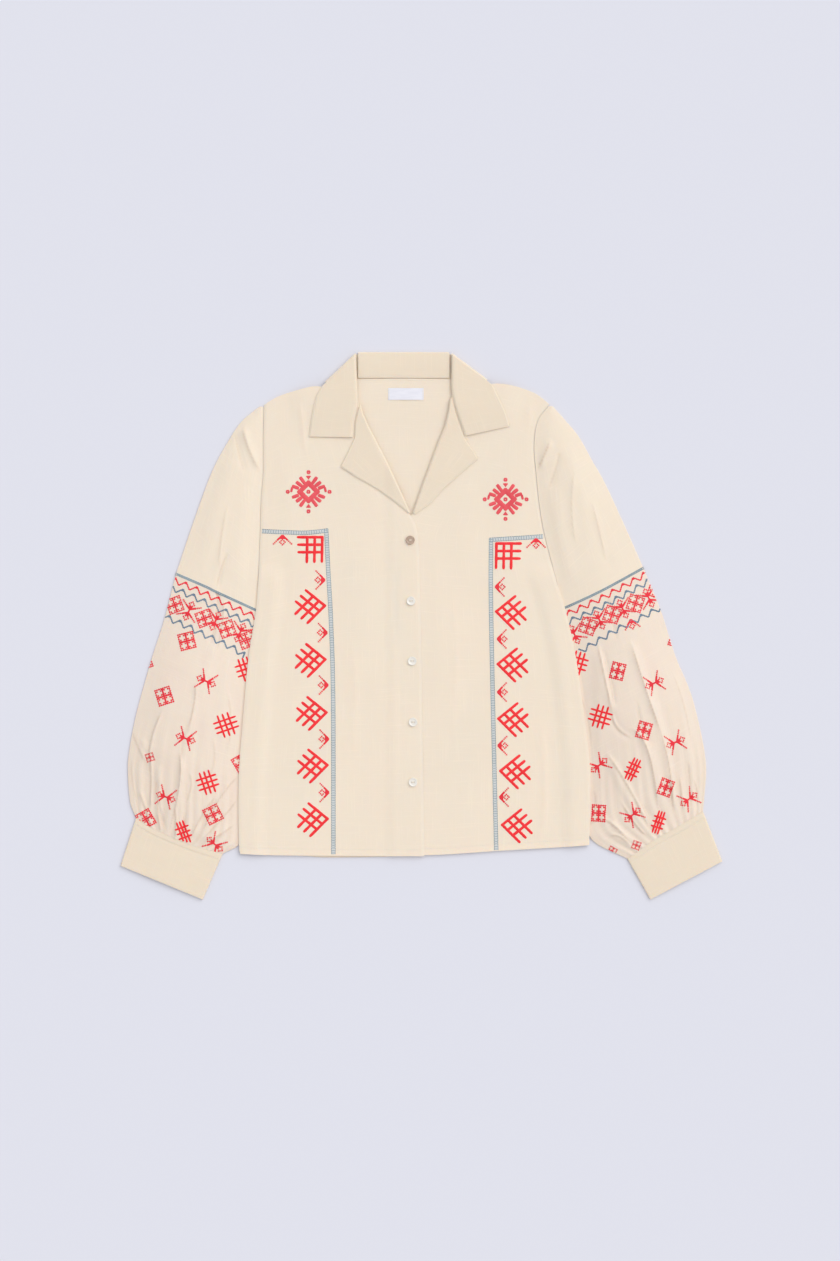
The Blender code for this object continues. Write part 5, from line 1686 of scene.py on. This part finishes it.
for side in SIDES:
    strewn = band_reds[side]
    for x, y, angle in STREWN_SQUARES[side]:
        square(strewn, from_picture((x, y)), angle, 1.0, SQUARE_WIDE[side])
    for x, y, angle in STREWN_ANTENNAS[side]:
        antenna(strewn, from_picture((x, y)), angle)
    for x, y, angle in LONE_ARROWS[side]:
        arrowhead(strewn, from_picture((x, y)), angle, ANTENNA_REACH, 40.0)
    for x, y, angle in STREWN_SMALL[side]:
        square(strewn, from_picture((x, y)), angle, SMALL_SIZE)
    strewn.sewn("sleeve_motifs_" + side, deep_red_floss, "sleeve_cloth")
    hashes = Threads(sleeve_surfaces[side])
    for x, y, angle, wide in STREWN_HASHES[side]:
        hash_bars(hashes, from_picture((x, y)), angle, wide)
    hashes.sewn("sleeve_hashes_" + side, red_floss, "sleeve_cloth")

# %% [markdown]
# ## Topstitching
# The maker runs a line of stitches beside every edge that is turned and pressed: round the collar and
# lapels, along the hem, below the neck seam and round the cuffs. They are in the cloth's own colour
# and are the same short stitch as before, in a finer thread.

# %% Stitch lines
SEAM_STITCH_PITCH = 2.7
SEAM_STITCH_LONG = 2.1
LAPEL_FIRST_ROW = 3
SEAM_STITCH_THICK = 0.55
EDGE_INSET = 2.3
HEM_LINE = HEM_BAND - 0.6
COLLAR_LINES = [
    [(-96, 258.4), (-150.4, 259.4), (-146.6, 285), (-141.6, 308), (-137, 317.5)],
    [(61.6, 260.8), (117.2, 272.8), (112.6, 288), (105.6, 303.2), (100, 313.5)]]
NECK_LINE = [(-84, 333.4), (-29, 333.8), (37, 332.8)]
STAND_LINE = [(-84, 339.6), (36, 339.6)]


def inset_edge(table):
    """The outer edge of a lapel table below its notch, moved in from the edge."""
    rows = np.array(table[LAPEL_FIRST_ROW:-1], float)
    roll, edge = rows[:, :2], rows[:, 2:4]
    inward = roll - edge
    return edge + inward / np.hypot(*inward.T)[:, None] * EDGE_INSET


def stitched(name, piece, lines):
    """Lines of fine stitches on one piece, joined as one."""
    threads = Threads(surface_of(piece))
    for line in lines:
        threads.line(np.array(line, float), SEAM_STITCH_PITCH, SEAM_STITCH_LONG, SEAM_STITCH_THICK, 0.4, 0.06)
    threads.sewn(name, cream_thread)


stitched("collar_stitching", collar_piece, COLLAR_LINES)
for side in SIDES:
    stitched("lapel_stitching_" + side, lapels[side], [inset_edge(LAPEL[side])])
for side in SIDES:
    hem_line = curve(moved(HEM_FRONT[side], HEM_LINE), 120)[2:-2]
    stitched("hem_stitching_" + side, fronts[side], [hem_line])
stitched("neck_seam_stitching", back_piece, [NECK_LINE])
stitched("stand_stitching", stand_piece, [STAND_LINE])
for side in SIDES:
    cuff_line = curve(CUFF_SEAM[side], 60)[1:-1] + np.array(CUFF_FALL[side]) * CUFF_TURNING
    stitched("cuff_stitching_" + side, cuff_pieces[side], [cuff_line])

# %% [markdown]
# ## Neck label
# A small satin label is sewn inside the back neck by its two short ends. It is a thin strip that
# lies a little wavy on the cloth. Satin shines along its threads, so its finish is smoother than the
# blouse's, with fine lines one way only. It is left plain white.

# %% Satin label
LABEL_X = (-45.0, 3.0)
LABEL_Y = (307.0, 323.0)
LABEL_REST = 3.35
LABEL_THICK = 0.4
LABEL_COLUMNS = 60
LABEL_ROWS = 20
SATIN_LINES = 5200.0
SATIN_CLOUDS = (60.0, 240.0, 1.0)
SATIN_WHITE = (0.86, 0.85, 0.90, 1.0)
SATIN_SHADE = (0.80, 0.79, 0.85, 1.0)

satin_looks = {"Sheen_Weight": 0.2, "Specular_IOR_Level": 0.45}
satin, satin_tree, satin_shader = new_material("white satin ribbon", **satin_looks)
satin_places = flat_places(satin_tree, "cloth")
cloudy = stretched_noise(satin_tree, satin_places, SATIN_CLOUDS, 2.0)
white_tone = ranged(satin_tree, cloudy, 0.35, 0.7, 0.0, 1.0)
link(satin_tree, mixed(satin_tree, white_tone, SATIN_WHITE, SATIN_SHADE), satin_shader.inputs["Base Color"])
link(satin_tree, ranged(satin_tree, cloudy, 0.3, 0.7, 0.38, 0.5), satin_shader.inputs["Roughness"])
bumped(satin_tree, satin_shader, thread_wave(satin_tree, satin_places, "Y", SATIN_LINES), 0.3, 0.0001)

label_x, label_y = np.meshgrid(np.linspace(*LABEL_X, LABEL_COLUMNS),
                               np.linspace(*LABEL_Y[::-1], LABEL_ROWS))
label_share = (label_x - LABEL_X[0]) / (LABEL_X[1] - LABEL_X[0])
label_bow = 0.35 * np.sin(np.pi * label_share) ** 2 + 0.08 * np.sin(label_share * 15.0 + label_y / 4.0)
label_low = np.dstack([label_x, label_y, LABEL_REST + label_bow])
label_piece = cloth_piece("neck_label_satin", label_low + (0.0, 0.0, LABEL_THICK), label_low, satin, "label")
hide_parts("neck_label")
label_ends = [[(x, LABEL_Y[0] + 1.0), (x, LABEL_Y[1] - 1.0)] for x in (LABEL_X[0] + 1.3, LABEL_X[1] - 1.3)]
stitched("label_stitching", label_piece, label_ends)

# %% [markdown]
# ## Buttons
# Five shell buttons close the front. A button like these is turned on a lathe: a disc with a rounded
# rim and a dished middle, then two drilled holes. It could be spun from a profile; a disc with two
# insets and a small bevel gives the same form with fewer steps. One is made and copied, and the
# first one is browner than the others.

# %% One button
BUTTON_RADIUS = 6.0
BUTTON_THICK = 2.2
BUTTON_RIM = 1.3
BUTTON_SLOPE = 0.9
BUTTON_DISH = 0.55
BUTTON_BEVEL = 0.4
BUTTON_HOLE = 0.8
BUTTON_HOLE_OFFSET = 1.5
DRILL_LENGTH = 8.0

select_nothing()
bpy.ops.mesh.primitive_cylinder_add(vertices=64, radius=BUTTON_RADIUS * MM, depth=BUTTON_THICK * MM,
                                    location=(0.0, 0.0, 0.0))
button_model = bpy.context.active_object
button_model.name = "button_model"
bpy.ops.object.mode_set(mode="EDIT")
bpy.ops.mesh.select_mode(type="FACE")
bpy.ops.mesh.select_all(action="DESELECT")
bpy.ops.object.mode_set(mode="OBJECT")
for face in button_model.data.polygons:
    face.select = face.normal.z > 0.9
bpy.ops.object.mode_set(mode="EDIT")
bpy.ops.mesh.inset(thickness=BUTTON_RIM * MM, depth=0.0)
bpy.ops.mesh.inset(thickness=BUTTON_SLOPE * MM, depth=-BUTTON_DISH * MM)
bpy.ops.object.mode_set(mode="OBJECT")
rounded = button_model.modifiers.new("rounded rim", "BEVEL")
rounded.width = BUTTON_BEVEL * MM
rounded.segments = 3
rounded.limit_method = "ANGLE"
bpy.ops.object.modifier_apply(modifier=rounded.name)
for sign in (-1.0, 1.0):
    bpy.ops.mesh.primitive_cylinder_add(vertices=24, radius=BUTTON_HOLE * MM, depth=DRILL_LENGTH * MM,
                                        location=(sign * BUTTON_HOLE_OFFSET * MM, 0.0, 0.0))
    drill = bpy.context.active_object
    drill.select_set(False)
    button_model.select_set(True)
    bpy.context.view_layer.objects.active = button_model
    hole = button_model.modifiers.new("drilled hole", "BOOLEAN")
    hole.operation = "DIFFERENCE"
    hole.object = drill
    bpy.ops.object.modifier_apply(modifier=hole.name)
    bpy.data.objects.remove(drill, do_unlink=True)
bpy.ops.object.shade_smooth_by_angle(angle=math.radians(32.0))
print("one button has", len(button_model.data.polygons), "faces")


# %% Shell and the five buttons
BUTTON_AIR = 0.12
BUTTONS = [(-15.2, 116.3), (-14.1, 33.7), (-12.5, -47.9), (-11.4, -130.9), (-11.4, -212.5)]
BROWN_SHELL = ((0.55, 0.40, 0.30), (0.38, 0.26, 0.185))
PALE_SHELL = ((0.93, 0.88, 0.78), (0.80, 0.76, 0.70))
SHELL_LAYERS = (260.0, 620.0, 260.0)
SHELL_CLOUDS = (120.0, 150.0, 120.0)
THREAD_TURNS = (-0.55, 0.0, 0.55)


def shell(name, pale, dark):
    """Polished shell: cloudy layers under a clear top."""
    material, tree, shader = new_material(name, Coat_Weight=0.6, Coat_Roughness=0.12)
    layers = stretched_noise(tree, object_places(tree), SHELL_LAYERS, 3.0)
    clouds = stretched_noise(tree, object_places(tree), SHELL_CLOUDS, 1.0)
    tone = ranged(tree, calculated(tree, "ADD", layers, clouds), 0.75, 1.3, 0.0, 1.0)
    link(tree, mixed(tree, tone, (*pale, 1.0), (*dark, 1.0)), shader.inputs["Base Color"])
    link(tree, ranged(tree, layers, 0.3, 0.7, 0.2, 0.34), shader.inputs["Roughness"])
    bumped(tree, shader, layers, 0.12, 0.0001)
    return material


pale_shell = shell("pale shell", *PALE_SHELL)
brown_shell = shell("brown shell", *BROWN_SHELL)
for number, (x, y) in enumerate(BUTTONS, 1):
    spots = [on_cloth(front_surfaces["right"], x + step * BUTTON_RADIUS, y) for step in (-0.9, 0.0, 0.9)]
    middle_z = max(spot[0][2] for spot in spots) + BUTTON_AIR + BUTTON_THICK / 2
    button_mesh = button_model.data.copy()
    button_mesh.transform(Matrix.Translation((x * MM, y * MM, middle_z * MM)))
    button_mesh.materials.clear()
    button_mesh.materials.append(brown_shell if number == 1 else pale_shell)
    button_piece = new_piece("button_shell_" + str(number), button_mesh)
    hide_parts("button_" + str(number))
    turns = Threads(surface_of(button_piece))
    for offset in THREAD_TURNS:
        turns.stitch(x, y + offset, 4.0 * offset, 2 * BUTTON_HOLE_OFFSET + 0.7, 0.75, 0.6, 0.12)
    turns.sewn("button_thread_" + str(number), cream_thread, "button")
bpy.data.objects.remove(button_model, do_unlink=True)
